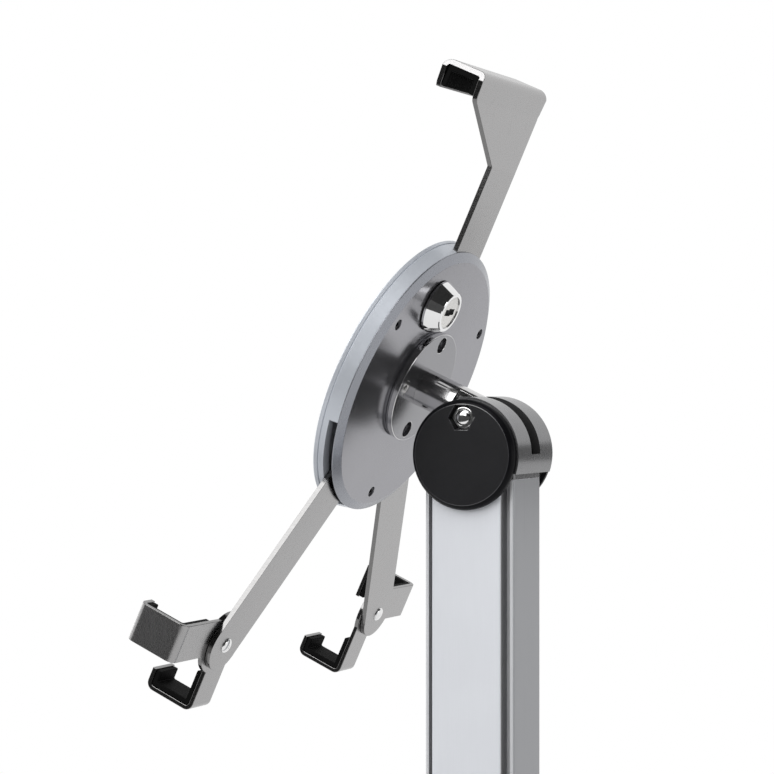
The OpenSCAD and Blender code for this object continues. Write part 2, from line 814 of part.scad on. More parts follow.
module hub_front() {
  slope = (hub_r - cover_r) / (ring_top - plate_face);
  color([0.6, 0.61, 0.64]) in_hub() difference() {
    turned() polygon([[0, plate_face], [hub_r - 0.3, plate_face], [hub_r, plate_face + 0.3],
      [hub_r - slope * plate_t, plate_back], [0, plate_back]]);
    at_cover_screws() rod(cover_screw_r, plate_face - cut, plate_back + cut);
    at_arm_pins() rod(pin_r - 1, plate_face - cut, plate_back + cut);
    at_guide_screws() {
      rod(guide_screw_r, plate_face - cut, plate_back + cut);
      translate([0, plate_face, 0]) rotate([-90, 0, 0])
        cylinder(r1 = guide_screw_head_r, r2 = guide_screw_r, h = 1.2);
    }
  }
}

module hub_pad() {
  color([0.07, 0.07, 0.07]) in_hub() difference() {
    turned() disc_profile_down(cover_face_r - 3, pad_face, plate_face, 1);
    rod(washer_big_r, pad_face - cut, plate_face + cut);
  }
}
module disc_profile_down(r, a, b, e)
  polygon([[0, a], [r - e, a], [r - 0.3 * e, a + 0.3 * e], [r, a + e], [r, b], [0, b]]);

module hub_screws() {
  head_seat = cover_out - head_sink - cover_head_h;
  color([0.2, 0.2, 0.21]) in_hub() at_cover_screws() difference() {
    union() {
      rod(cover_screw_r, plate_face + seat_gap, head_seat + cover_head_h);
      rod(cover_head_r, head_seat, head_seat + cover_head_h);
    }
    translate([0, head_seat - cover_head_h, 0]) rotate([-90, 0, 0])
      cylinder(d = cover_socket, h = 3 * cover_head_h, $fn = 6);
  }
}

// Guide for the upper arm's tongue
module at_guide_screws() for (v = guide_screw_v) translate([guide_screw_u, 0, v]) children();

module arm_guide() {
  left = strap_left - guide_left;
  color([0.45, 0.45, 0.47]) in_hub() difference() {
    union() {
      slab(plate_back, upper_front - run_gap) {
        translate([left, guide_low]) square([guide_floor_right - left, guide_high - guide_low]);
        translate([left, guide_low])
          square([tongue_right + guide_left - left, guide_foot_high - guide_low]);
      }
      slab(plate_back, upper_back) {
        translate([left, guide_low]) square([guide_left - run_gap, guide_high - guide_low]);
        translate([tongue_right + run_gap, guide_low])
          square([guide_left - run_gap, guide_foot_high - guide_low]);
      }
    }
    at_guide_screws() rod(guide_screw_r, plate_back - cut, upper_front - 0.8);
    translate([stop_u, 0, stop_v]) rod(stop_r, plate_back + 0.6, upper_back);
  }
}

module guide_screws() {
  color([0.7, 0.7, 0.72]) in_hub() at_guide_screws() difference() {
    union() {
      rod(guide_screw_r, plate_face + 0.4, upper_front - 1);
      translate([0, plate_face, 0]) rotate([-90, 0, 0])
        cylinder(r1 = guide_screw_head_r, r2 = guide_screw_r, h = 1.2);
    }
    translate([0, plate_face - cut, 0]) rotate([-90, 0, 0]) cylinder(d = 2, h = cut + 1, $fn = 6);
  }
}

module arm_stop_pin() {
  color([0.75, 0.75, 0.77]) in_hub() translate([stop_u, 0, stop_v])
    rod(stop_r, plate_back + 0.8, upper_back);
}

module at_arm_pins() for (s = [-1, 1]) translate([s * pin_u, 0, pin_v]) children();

module arm_pins() {
  color([0.75, 0.75, 0.77]) in_hub() at_arm_pins() {
    rod(pin_r - 1, plate_face + 0.2, plate_back + cut);
    rod(pin_base_r, plate_back, lower_front - run_gap);
    rod(pin_r, plate_back, ring_top - 0.3);
  }
}

module pin_collars() {
  color([0.9, 0.9, 0.86]) in_hub() at_arm_pins() difference() {
    rod(collar_r, lower_back + run_gap, ring_top);
    rod(pin_r, lower_back, ring_top - 0.3);
  }
}

// Lock

module lock_gasket() {
  color([0.05, 0.05, 0.05]) in_hub() at_lock() difference() {
    rod(bezel_r, cover_out, cover_out + gasket_t);
    rod(barrel_r, cover_out - cut, cover_out + gasket_t + cut);
  }
}

module lock_body() {
  bezel_base = cover_out + gasket_t;
  color([0.85, 0.85, 0.87]) in_hub() at_lock() difference() {
    union() {
      rod(barrel_r, barrel_end, cover_out + cut);
      turned() polygon([[0, bezel_base], [bezel_r, bezel_base], [bezel_r, bezel_base + 0.8],
        [bezel_face_r + 0.3, cover_out + bezel_h - 0.3], [bezel_face_r, cover_out + bezel_h],
        [0, cover_out + bezel_h]]);
    }
    rod(plug_r + turn_gap, barrel_end - cut, cover_out + bezel_h + cut);
    difference() {
      rod(barrel_r + cut, ring_top - 0.9, ring_top);
      rod(groove_r, ring_top - 2, ring_top + 2);
    }
  }
}

module lock_clip() {
  color([0.55, 0.55, 0.57]) in_hub() at_lock() slab(ring_top - clip_t - 0.05, ring_top - 0.05)
    difference() {
      circle(clip_r);
      circle(groove_r);
      translate([-clip_r - cut, -clip_r - cut]) square([clip_r + cut, 2 * (clip_r + cut)]);
    }
}

// A slot in two parts, one a little lower than the other
module keyway() for (s = [-1, 1])
  translate([s * (key_l - key_w) / 4, -s * key_step / 2])
    square([(key_l + key_w) / 2, key_w], center = true);

module lock_plug() {
  face = cover_out + bezel_h - 0.4;
  color([0.88, 0.88, 0.9]) in_hub() at_lock() difference() {
    rod(plug_r, cam_top, face);
    slab(face - key_depth, face + cut) keyway();
    rod(cam_screw_r, cam_top - cut, cam_top + 3);
  }
}

// Off-centre disc: a quarter turn brings its wide side against the upper arm's tongue
module lock_cam() {
  color([0.6, 0.6, 0.62]) in_hub() at_lock() slab(cam_low, cam_top) difference() {
    translate([0, -cam_throw]) circle(cam_r);
    circle(cam_screw_r);
  }
}

module cam_screw() {
  head_h = 1;
  color([0.7, 0.7, 0.72]) in_hub() at_lock() difference() {
    union() {
      rod(cam_screw_r, cam_low - head_h / 2, cam_top + 2.8);
      rod(cam_screw_head_r, cam_low - head_h, cam_low);
    }
    translate([-cam_screw_head_r - cut, cam_low - head_h - cut, -0.4])
      cube([2 * (cam_screw_head_r + cut), cut + head_h / 2, 0.8]);
  }
}

// Arms

flare_v = top_v - flare_end;
strap_top = flare_v - flare_len;

// Side line of the upper arm's outer face: depth behind the tablet's front, height above the hub
function upper_path(start) = [
  [upper_back, start], [upper_back, strap_top], [hook_back, flare_v],
  [hook_back, top_out], [hook_lip_out, top_out], [hook_lip_out, top_out - hook_lip]
];

module upper_plan() {
  right = strap_left + upper_w;
  wide = hook_w / 2;
  polygon([[strap_left, tongue_low], [tongue_right, tongue_low], [tongue_right, tongue_top],
    [right, tongue_top + 3], [right, strap_top], [wide - 1, flare_v - 1], [wide, flare_v + 1],
    [wide + 0.8, top_out - 3], [wide - 2, top_out + 1], [2 - wide, top_out + 1],
    [-wide - 0.8, top_out - 3], [-wide, flare_v + 1], [1 - wide, flare_v - 1],
    [strap_left, strap_top]]);
}

module upper_arm() {
  color([0.62, 0.62, 0.62]) in_hub() difference() {
    intersection() {
      across(-hook_w, hook_w) fold(upper_path(tongue_low), bend_r, 0, upper_t);
      slab(-big / 2, big / 2) upper_plan();
    }
    slab(upper_front - cut, upper_back + cut) {
      translate([stop_u, stop_v + upper_in]) circle(stop_r + run_gap);
      translate([stop_u, stop_v - upper_out]) circle(stop_r + run_gap);
      translate([stop_u - stop_r - run_gap, stop_v - upper_out])
        square([2 * (stop_r + run_gap), upper_in + upper_out]);
    }
  }
}

module hook_pad() {
  color([0.06, 0.06, 0.06]) in_hub() intersection() {
    across(-hook_w / 2 + pad_inset, hook_w / 2 - pad_inset)
      fold([[hook_back, flare_v + 1], [hook_back, top_out], [hook_lip_out, top_out],
        [hook_lip_out, top_out - hook_lip + 0.5]], bend_r, upper_t, upper_t + pad_t);
    slab(-big / 2, big / 2) translate([-hook_w, flare_v]) square([2 * hook_w, big]);
  }
}

// The lower arm is drawn along its own line from the hub pin, then turned to the rivet
module at_pin() translate([pin_u, 0, pin_v]) rotate([0, -arm_angle, 0]) children();

module lower_arm_right() {
  wide = lower_w / 2;
  narrow = wide - 0.1;
  neck = eye_r - 0.3;
  color([0.62, 0.62, 0.62]) in_hub() at_pin() difference() {
    union() {
      rod(eye_r, lower_front, lower_back);
      slab(lower_front, lower_back) polygon([[-neck, 0], [neck, 0], [wide, -arm_widen],
        [narrow, -arm_len], [-narrow, -arm_len], [-wide, -arm_widen]]);
      translate([0, 0, -arm_len]) rod(wide, lower_front, lower_back);
    }
    rod(pin_r + turn_gap, lower_front - cut, lower_back + cut);
    translate([0, 0, -arm_len]) rod(rivet_r, lower_front - cut, lower_back + cut);
  }
}
module lower_arm_left() left_side() lower_arm_right();

module at_rivet() translate([rivet_u, 0, rivet_v]) children();

module corner_rivet_right() {
  color([0.78, 0.78, 0.8]) in_hub() at_rivet() {
    rod(rivet_r, bracket_front - rivet_tail_h, lower_back);
    rod(rivet_tail_r, bracket_front - rivet_tail_h, bracket_front - run_gap);
    difference() {
      turned() disc_profile(rivet_head_r, lower_back, lower_back + rivet_head_h, 1.4);
      translate([0, lower_back + 0.6, 0]) rotate([-90, 0, 0]) cylinder(d = 2.5, h = big, $fn = 6);
    }
  }
}
module corner_rivet_left() left_side() corner_rivet_right();

side_path = [[rivet_u, bracket_back], [side_out, bracket_back], [side_out, lip_out],
  [side_out - lip, lip_out]];
bottom_path = [[bracket_back, rivet_v], [bracket_back, bottom_out], [lip_out, bottom_out],
  [lip_out, bottom_out + lip]];

module corner_bracket_right() {
  color([0.6, 0.6, 0.61]) in_hub() difference() {
    union() {
      slab(bracket_front, bracket_back) translate([rivet_u, rivet_v]) circle(bracket_head_r);
      translate([0, 0, side_mid - side_w / 2]) linear_extrude(side_w)
        fold(side_path, bend_r, 0, -bracket_t);
      across(bottom_mid - bottom_w / 2, bottom_mid + bottom_w / 2)
        fold(bottom_path, bend_r, 0, -bracket_t);
    }
    at_rivet() rod(rivet_r + turn_gap, bracket_front - cut, bracket_back + cut);
  }
}
module corner_bracket_left() left_side() corner_bracket_right();

pad_start = bracket_head_r + 0.5;
side_pad_path = [[rivet_u + pad_start, bracket_back], [side_out, bracket_back], [side_out, lip_out],
  [side_out - lip + pad_inset, lip_out]];
bottom_pad_path = [[bracket_back, rivet_v - pad_start], [bracket_back, bottom_out],
  [lip_out, bottom_out], [lip_out, bottom_out + lip - pad_inset]];

module corner_pads_right() {
  inner = bracket_t + pad_t;
  color([0.06, 0.06, 0.06]) in_hub() {
    translate([0, 0, side_mid - side_w / 2 + pad_inset]) linear_extrude(side_w - 2 * pad_inset)
      fold(side_pad_path, bend_r, -bracket_t, -inner);
    across(bottom_mid - bottom_w / 2 + pad_inset, bottom_mid + bottom_w / 2 - pad_inset)
      fold(bottom_pad_path, bend_r, -bracket_t, -inner);
  }
}
module corner_pads_left() left_side() corner_pads_right();

base_plate();
base_feet();
foot_screws();
foot_flange();
base_bolts();
pole_skirt();
pole();
side_panel_right();
side_panel_left();
foot_side_screws();
yoke_side_screws();
yoke();
end_cap_right();
end_cap_left();
tilt_bolt();
tilt_nut();
bolt_washers();
friction_washers();
neck_rod();
neck_flange();
backing_plate();
flange_screws();
spindle_washer();
spindle_spring();
spindle_nut();
spindle_bush();
hub_cover();
hub_ring();
hub_front();
hub_pad();
hub_screws();
arm_guide();
guide_screws();
arm_stop_pin();
arm_pins();
pin_collars();
lock_body();
lock_gasket();
lock_clip();
lock_plug();
lock_cam();
cam_screw();
upper_arm();
hook_pad();
lower_arm_right();
lower_arm_left();
corner_rivet_right();
corner_rivet_left();
corner_bracket_right();
corner_bracket_left();
corner_pads_right();
corner_pads_left();
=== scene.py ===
"""Looks of the adjustable floor stand: finishes, rounded edges, fasteners, light and camera."""

import json
import math

import bmesh
import bpy
from mathutils import Matrix, Vector
from mathutils.bvhtree import BVHTree

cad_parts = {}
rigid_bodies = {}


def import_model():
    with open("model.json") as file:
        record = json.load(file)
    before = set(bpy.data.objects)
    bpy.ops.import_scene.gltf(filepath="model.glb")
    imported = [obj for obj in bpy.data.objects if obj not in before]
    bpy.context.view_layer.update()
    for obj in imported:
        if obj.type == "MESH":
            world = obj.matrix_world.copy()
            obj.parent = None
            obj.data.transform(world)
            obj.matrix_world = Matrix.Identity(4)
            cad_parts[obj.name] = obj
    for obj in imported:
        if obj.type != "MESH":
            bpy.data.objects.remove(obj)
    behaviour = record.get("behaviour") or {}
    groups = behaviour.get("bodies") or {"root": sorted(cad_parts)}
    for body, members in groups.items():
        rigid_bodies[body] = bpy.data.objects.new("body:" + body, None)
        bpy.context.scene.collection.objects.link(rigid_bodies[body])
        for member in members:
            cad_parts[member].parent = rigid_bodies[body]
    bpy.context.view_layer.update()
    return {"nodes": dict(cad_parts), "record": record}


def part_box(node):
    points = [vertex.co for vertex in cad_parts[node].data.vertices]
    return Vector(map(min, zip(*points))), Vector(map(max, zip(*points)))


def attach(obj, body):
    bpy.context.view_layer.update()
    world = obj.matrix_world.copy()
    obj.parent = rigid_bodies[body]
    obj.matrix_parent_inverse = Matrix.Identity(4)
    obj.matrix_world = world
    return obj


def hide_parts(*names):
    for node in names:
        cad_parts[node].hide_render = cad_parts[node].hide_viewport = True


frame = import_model()
nodes = frame["nodes"]

# One millimetre, and the angle at which the hub leans back
MM = 0.001
TILT = math.radians(24.5)

# The middle of the head's round band, and the tilt bolt above it, in metres
HEAD_Z = 1.050
PIVOT = Vector((0.0, 0.0, 1.0635))

# Levels in millimetres back from the front of the grips' opening, as the solids have them
NECK_REACH = 50.9
PAD_FACE, COVER_OUT, FLANGE_OUT = 9.2, 21.7, 24.9
ARM_BACK, RIVET_TAIL = 18.4, 14.1


def hub_point(across, back, up):
    """A point in the hub's own directions, in millimetres: across, back from the front of the grips'
    opening, and up."""
    turned = Matrix.Rotation(-TILT, 3, "X") @ (Vector((across, back - NECK_REACH, up)) * MM)
    return PIVOT + turned


# The way from the hub's front to its back
BEHIND = (hub_point(0, 1000, 0) - hub_point(0, 0, 0)).normalized()

# Places and radii of the pieces in millimetres, as the solids have them
LOCK = (13.0, 31.6)
RIVET_AT = (64.05, -104.4)
FLANGE_SCREW_OUT = 17.2
COVER_SCREW_RING, FIRST_COVER_SCREW, COVER_SCREW_SUNK = 44.6, 31.4, 0.5
FOOT_AT, FOOT_SCREW_LEVEL = (130, 160), 0.5
BASE_BOLT_AT, BASE_BOLT_LEVEL = (27, 30), 3.1
ROD_RADIUS, FLANGE_ROOT_RADIUS, ROOT_HEIGHT = 7.2, 14.0, 2.05
BAND_INSIDE, YOKE_HALF_GAP = 18.3, 13.4
CAP_FACE_RADIUS, COVER_FACE_RADIUS = 16.9, 49.3
BEZEL_HEIGHT = 6.6

# Axes of the turned pieces, each a point and a direction
HUB_MIDDLE = hub_point(0, 0, 0)
HUB_AXIS = [(HUB_MIDDLE, BEHIND)]
LOCK_AXIS = [(hub_point(LOCK[0], 0, LOCK[1]), BEHIND)]
HEAD_AXIS = [(Vector((0, 0, HEAD_Z)), Vector((1, 0, 0)))]

# Turns of a fastener whose head points up in its own pattern
OUT_OF_HUB = (-(math.pi / 2 + TILT), 0.0, 0.0)
DOWNWARD = (math.pi, 0.0, 0.0)


# Finishes

# Sockets of the shader tree's mix node: its factor, its two colours or numbers, and its results
MIX_FACTOR, NUMBER_A, NUMBER_B, COLOUR_A, COLOUR_B = 0, 2, 3, 6, 7
NUMBER_OUT, COLOUR_OUT = 0, 2

# The middle half of a noise pattern, in which most of its values lie
NOISE_LOW, NOISE_HIGH = 0.25, 0.75


class Finish:
    """One material of the stand, built node by node."""

    def __init__(self, name):
        self.material = bpy.data.materials.new(name)
        self.material.use_nodes = True
        self.tree = self.material.node_tree
        self.tree.nodes.clear()
        self.shader = self.tree.nodes.new("ShaderNodeBsdfPrincipled")
        output = self.tree.nodes.new("ShaderNodeOutputMaterial")
        self.join(self.shader.outputs[0], output.inputs["Surface"])

    def join(self, source, target):
        self.tree.links.new(source, target)

    def feed(self, label, source):
        """Joins a pattern or a colour to a socket of the shader."""
        self.join(source, self.shader.inputs[label])

    def add(self, kind, **settings):
        made = self.tree.nodes.new(kind)
        for key, value in settings.items():
            setattr(made, key, value)
        return made

    def set(self, **values):
        """Gives sockets of the shader an even value; an underscore stands for a space."""
        for key, value in values.items():
            self.shader.inputs[key.replace("_", " ")].default_value = value
        return self

    def place(self, scale, turn=(0.0, 0.0, 0.0)):
        """Object coordinates, turned and stretched, as the start of a pattern."""
        where = self.add("ShaderNodeTexCoord")
        mapping = self.add("ShaderNodeMapping")
        mapping.inputs["Rotation"].default_value = turn
        mapping.inputs["Scale"].default_value = scale
        self.join(where.outputs["Object"], mapping.inputs["Vector"])
        return mapping.outputs["Vector"]

    def noise(self, scale, detail=3.0, rough=0.5, where=None):
        """A noise pattern, the same in all directions where no stretched place is given."""
        made = self.add("ShaderNodeTexNoise")
        made.inputs["Scale"].default_value = scale
        made.inputs["Detail"].default_value = detail
        made.inputs["Roughness"].default_value = rough
        self.join(where or self.place(EVEN), made.inputs["Vector"])
        return made.outputs["Fac"]

    def ramp(self, value, low, high):
        """Spreads a pattern's 0..1 between two numbers."""
        made = self.add("ShaderNodeMapRange")
        made.inputs["From Min"].default_value = NOISE_LOW
        made.inputs["From Max"].default_value = NOISE_HIGH
        made.inputs["To Min"].default_value = low
        made.inputs["To Max"].default_value = high
        self.join(value, made.inputs["Value"])
        return made.outputs["Result"]

    def around(self, value, middle, spread):
        """Spreads a pattern by as much to both sides of a number."""
        return self.ramp(value, middle - spread, middle + spread)

    def colours(self, value, dark, light):
        """Mixes two colours by a pattern."""
        made = self.add("ShaderNodeMix", data_type="RGBA")
        made.inputs[COLOUR_A].default_value = (*dark, 1.0)
        made.inputs[COLOUR_B].default_value = (*light, 1.0)
        self.join(value, made.inputs[MIX_FACTOR])
        return made.outputs[COLOUR_OUT]

    def blended(self, fine, broad, share, roughness, spread):
        """A roughness that wanders by spread with a fine pattern and, by share, with a broad one."""
        made = self.add("ShaderNodeMix", data_type="FLOAT")
        made.inputs[MIX_FACTOR].default_value = share
        self.join(self.around(fine, roughness, spread), made.inputs[NUMBER_A])
        self.join(self.around(broad, roughness, spread), made.inputs[NUMBER_B])
        return made.outputs[NUMBER_OUT]

    def bumped(self, height, strength, distance, after=None):
        """A normal that a pattern raises by distance in metres, on top of an earlier one."""
        made = self.add("ShaderNodeBump")
        made.inputs["Strength"].default_value = strength
        made.inputs["Distance"].default_value = distance
        self.join(height, made.inputs["Height"])
        if after is not None:
            self.join(after, made.inputs["Normal"])
        return made.outputs["Normal"]


def shade(colour, factor):
    """A darker or lighter tone of a colour."""
    return tuple(min(1.0, c * factor) for c in colour)


# Stretches of a pattern along x, y and z, and the turn of the hub's own directions
EVEN = (1.0, 1.0, 1.0)
UPWARD = (1.0, 1.0, 0.02)
ALONG_ARM = (1.0, 1.0, 0.03)
ACROSS_EDGE = (1.0, 0.08, 1.0)
LEVEL = (0.0, 0.0, 0.0)
IN_HUB = (TILT, 0.0, 0.0)


def scratched(finish, normal, roughness, direction, amount=0.06):
    """Adds sparse fine scratches to a metal's roughness and normal."""
    askew = (0.35, 0.2, 0.4)
    rare_from, rare_to = 0.66, 0.74
    lines = finish.noise(900.0, detail=1.0, rough=0.4, where=finish.place(direction, askew))
    sparse = finish.add("ShaderNodeMapRange")
    sparse.inputs["From Min"].default_value = rare_from
    sparse.inputs["From Max"].default_value = rare_to
    finish.join(lines, sparse.inputs["Value"])
    rougher = finish.add("ShaderNodeMath", operation="MULTIPLY_ADD")
    rougher.inputs[1].default_value = amount
    finish.join(sparse.outputs["Result"], rougher.inputs[0])
    finish.join(roughness, rougher.inputs[2])
    finish.feed("Roughness", rougher.outputs[0])
    finish.feed("Normal", finish.bumped(sparse.outputs["Result"], 0.03, distance=0.00001, after=normal))


def brushed_metal(name, colour, roughness, stretch, turn, strength=0.25, spread=0.08, tint=0.05,
                  metallic=1.0):
    """Metal with fine brush lines; stretch is small along the lines and 1 across them."""
    finish = Finish(name).set(Metallic=metallic)
    clean, handled = (1.0, 1.0, 1.0), (0.94, 0.94, 0.945)
    lines = finish.noise(2600.0, detail=2.0, rough=0.6, where=finish.place(stretch, turn))
    broad = finish.noise(38.0, detail=4.0, rough=0.55)
    tone = finish.colours(finish.ramp(lines, 0.0, 1.0), shade(colour, 1.0 - tint),
                          shade(colour, 1.0 + tint))
    patch = finish.add("ShaderNodeMix", data_type="RGBA", blend_type="MULTIPLY")
    patch.inputs[MIX_FACTOR].default_value = 1.0
    finish.join(tone, patch.inputs[COLOUR_A])
    finish.join(finish.colours(broad, handled, clean), patch.inputs[COLOUR_B])
    finish.feed("Base Color", patch.outputs[COLOUR_OUT])
    worn = finish.blended(lines, broad, share=0.35, roughness=roughness, spread=spread)
    normal = finish.bumped(lines, strength, distance=0.00003)
    scratched(finish, normal, worn, stretch)
    return finish.material


def satin_paint(name, colour, metallic, roughness, strength=0.12, spread=0.05):
    """Fine-grained coat, as on powder-coated or bead-blasted metal."""
    finish = Finish(name).set(Metallic=metallic)
    fine = finish.noise(1500.0, detail=4.0, rough=0.6)
    broad = finish.noise(30.0)
    tone = finish.colours(finish.ramp(broad, 0.0, 1.0), shade(colour, 0.96), shade(colour, 1.03))
    finish.feed("Base Color", tone)
    worn = finish.blended(fine, broad, share=0.4, roughness=roughness, spread=spread)
    normal = finish.bumped(fine, strength, distance=0.00002)
    scratched(finish, normal, worn, direction=(1.0, 0.12, 0.3), amount=0.05)
    return finish.material


def sheared_metal(name, colour, roughness):
    """The cut edge of a sheet, with fine lines across its thickness."""
    finish = Finish(name).set(Metallic=1.0)
    lines = finish.noise(3200.0, detail=2.0, rough=0.6, where=finish.place(ACROSS_EDGE, IN_HUB))
    tone = finish.colours(finish.ramp(lines, 0.0, 1.0), shade(colour, 0.86), shade(colour, 1.12))
    finish.feed("Base Color", tone)
    finish.feed("Roughness", finish.around(lines, roughness, spread=0.03))
    finish.feed("Normal", finish.bumped(lines, 0.03, distance=0.00002))
    return finish.material


def moulded_plastic(name, colour, roughness, grain, strength, gloss=0.5):
    """Plastic or rubber with a fine spark-eroded grain and a little dust in its tone."""
    finish = Finish(name).set(Specular_IOR_Level=gloss)
    spark = finish.noise(grain, rough=0.6)
    broad = finish.noise(60.0, detail=2.0)
    tone = finish.colours(finish.ramp(broad, 0.0, 1.0), shade(colour, 0.85), shade(colour, 1.2))
    finish.feed("Base Color", tone)
    finish.feed("Roughness", finish.around(spark, roughness, spread=0.06))
    finish.feed("Normal", finish.bumped(spark, strength, distance=0.00004))
    return finish.material


def ribbed_rubber(name, colour):
    """Lining rubber with a fine moulded grain and faint ribs."""
    finish = Finish(name).set(Specular_IOR_Level=0.05)
    ribs = finish.add("ShaderNodeTexWave", wave_type="BANDS", bands_direction="X")
    ribs.inputs["Scale"].default_value = 180.0
    finish.join(finish.place(EVEN), ribs.inputs["Vector"])
    spark = finish.noise(1100.0, rough=0.6)
    finish.feed("Base Color", finish.colours(spark, shade(colour, 0.8), shade(colour, 1.25)))
    smoothest, roughest = 0.56, 0.72
    finish.feed("Roughness", finish.ramp(spark, smoothest, roughest))
    grain = finish.bumped(spark, 0.3, distance=0.00005)
    finish.feed("Normal", finish.bumped(ribs.outputs["Fac"], 0.25, distance=0.0001, after=grain))
    return finish.material


def turned_metal(name, colour, roughness, turn):
    """Metal with fine lathe rings about an axis with this turn."""
    finish = Finish(name).set(Metallic=1.0)
    rings = finish.add("ShaderNodeTexWave", wave_type="RINGS", rings_direction="Z", wave_profile="SAW")
    rings.inputs["Scale"].default_value = 1400.0
    rings.inputs["Distortion"].default_value = 1.5
    finish.join(finish.place(EVEN, turn), rings.inputs["Vector"])
    broad = finish.noise(60.0)
    finish.feed("Base Color", finish.colours(broad, shade(colour, 0.95), shade(colour, 1.03)))
    worn = finish.around(broad, roughness, spread=0.05)
    normal = finish.bumped(rings.outputs["Fac"], 0.05, distance=0.00001)
    scratched(finish, normal, worn, direction=(1.0, 0.2, 0.2))
    return finish.material


MATERIALS = {
    "base_steel": satin_paint("base powder coat", (0.55, 0.56, 0.58), metallic=0.3, roughness=0.45),
    "rubber": ribbed_rubber("black lining rubber", (0.004, 0.004, 0.004)),
    "zinc": brushed_metal("zinc plate", (0.60, 0.60, 0.585),
                          roughness=0.32, stretch=EVEN, turn=LEVEL, strength=0.1),
    "plate_steel": brushed_metal("milled steel", (0.40, 0.40, 0.41),
                                 roughness=0.38, stretch=EVEN, turn=LEVEL),
    "black_plastic": moulded_plastic("black cap plastic", (0.007, 0.007, 0.0085),
                                     roughness=0.38, grain=1400.0, strength=0.08, gloss=0.34),
    "nylon": moulded_plastic("white nylon", (0.70, 0.69, 0.65),
                             roughness=0.45, grain=900.0, strength=0.1),
    "pole_aluminium": brushed_metal("pole aluminium", (0.34, 0.345, 0.36),
                                    roughness=0.40, stretch=UPWARD, turn=LEVEL, strength=0.06,
                                    spread=0.04, tint=0.02, metallic=0.6),
    "panel_aluminium": brushed_metal("panel aluminium", (0.80, 0.82, 0.86),
                                     roughness=0.46, stretch=UPWARD, turn=LEVEL, strength=0.03,
                                     spread=0.03, tint=0.012, metallic=0.25),
    "yoke_metal": satin_paint("yoke coat", (0.178, 0.178, 0.183),
                              metallic=0.9, roughness=0.26, strength=0.005, spread=0.012),
    "stainless": brushed_metal("stainless fasteners", (0.60, 0.595, 0.585),
                               roughness=0.14, stretch=EVEN, turn=LEVEL, strength=0.08, spread=0.05),
    "polished_steel": turned_metal("turned stainless", (0.62, 0.615, 0.62), roughness=0.11, turn=IN_HUB),
    "hub_metal": satin_paint("hub satin", (0.31, 0.309, 0.33),
                             metallic=0.88, roughness=0.21, strength=0.008, spread=0.015),
    "lock_chrome": brushed_metal("lock chrome", (0.82, 0.82, 0.82),
                                 roughness=0.06, stretch=EVEN, turn=LEVEL, strength=0.01, spread=0.02,
                                 tint=0.02),
    "arm_steel": brushed_metal("arm stainless", (0.375, 0.371, 0.371),
                               roughness=0.27, stretch=ALONG_ARM, turn=IN_HUB, strength=0.006,
                               spread=0.012, tint=0.012),
    "black_screw": satin_paint("black screws", (0.03, 0.03, 0.032), metallic=0.8, roughness=0.35),
}
# The arms' cut edges: a darker tone of sheared steel, made darker still as painted shade
CUT_EDGE_AND_PAINTED_SHADE = sheared_metal("sheared arm edge with painted shade", (0.19, 0.188, 0.187), roughness=0.14)
HUB_EDGE = satin_paint("hub rim", (0.56, 0.59, 0.64), metallic=0.35, roughness=0.36, strength=0.03)
COVER_BEVEL = satin_paint("cover bevel", (0.30, 0.31, 0.34),
                          metallic=0.8, roughness=0.27, strength=0.005, spread=0.012)
FLANGE_FACE = satin_paint("flange satin", (0.275, 0.275, 0.29),
                          metallic=0.9, roughness=0.19, strength=0.008, spread=0.015)
PLUG_FACE = satin_paint("plug nickel", (0.74, 0.73, 0.71), metallic=0.9, roughness=0.24)
KEY_DARK = moulded_plastic("dark keyway", (0.006, 0.006, 0.006), roughness=0.7, grain=900.0, strength=0.1)
# The side panels' faces that look forward or back take a dark grey copy of the aluminium: painted shade
PANEL_SIDE_PAINTED_SHADE = satin_paint("panel side painted shade", (0.25, 0.25, 0.257), metallic=0.7, roughness=0.45, strength=0.05)
# Near-black on the yoke's faces within its band: painted shade in the band's hollow
YOKE_INSIDE_PAINTED_SHADE = moulded_plastic("yoke inside painted shade", (0.012, 0.012, 0.012),
                              roughness=0.6, grain=700.0, strength=0.15)
# An end cap's rim in a darker, less glossy copy of its plastic: painted shade
CAP_RIM_PAINTED_SHADE = moulded_plastic("cap rim painted shade", (0.004, 0.004, 0.005),
                          roughness=0.34, grain=1400.0, strength=0.05, gloss=0.08)
# A lighter, glossier copy of the cap plastic on the edge between rim and face: painted sheen
CAP_EDGE_PAINTED_SHEEN = moulded_plastic("cap edge painted sheen", (0.03, 0.03, 0.034),
                           roughness=0.22, grain=1400.0, strength=0.02, gloss=1.0)
# A pale copy of the pole's aluminium on its faces that look right or left and their rounded edges: painted
# light
POLE_PAINTED_LIGHT = satin_paint("pole lip painted light", (0.78, 0.79, 0.81), metallic=0.4, roughness=0.36, strength=0.03)
BRIGHT_NUT = satin_paint("bright nut", (0.80, 0.80, 0.80), metallic=1.0, roughness=0.10, strength=0.02)

slot_of = {entry["node"]: entry["material_slot"] for entry in frame["record"]["subparts"]}
bodies = frame["record"]["behaviour"]["bodies"]
body_of = {node: body for body, members in bodies.items() for node in members}


def finish_solids():
    """Every solid gets the finish of its slot, also where a dressed copy will stand for it."""
    for node, solid in nodes.items():
        solid.data.materials.clear()
        solid.data.materials.append(MATERIALS[slot_of[node]])


# Rounded and dressed copies of the solids

# Material slots of a dressed copy; a rounded edge can also keep the slot of the faces beside it
MAIN_SLOT, EDGE_SLOT, TRIM_SLOT, FACES_SLOT = 0, 1, 2, -1

# Cosines above which two directions count as the same, nearly the same and roughly the same
SAME_WAY, NEARLY_SAME_WAY, ROUGHLY_SAME_WAY = 0.9999, 0.98, 0.8

# The least cosine between a round face's normal and its spoke
ALONG_SPOKE = 0.99

# Metres between corners that are one, to a ray's start, and to faces and corners on an axis
SAME_CORNER, JUST_INSIDE, FACE_ON_AXIS, CORNER_ON_AXIS = 0.000005, 0.00002, 0.0002, 0.0001

# A face of a sheet with more steel behind it than this many thicknesses is a cut one
CUT_FACE_DEPTH = 1.35


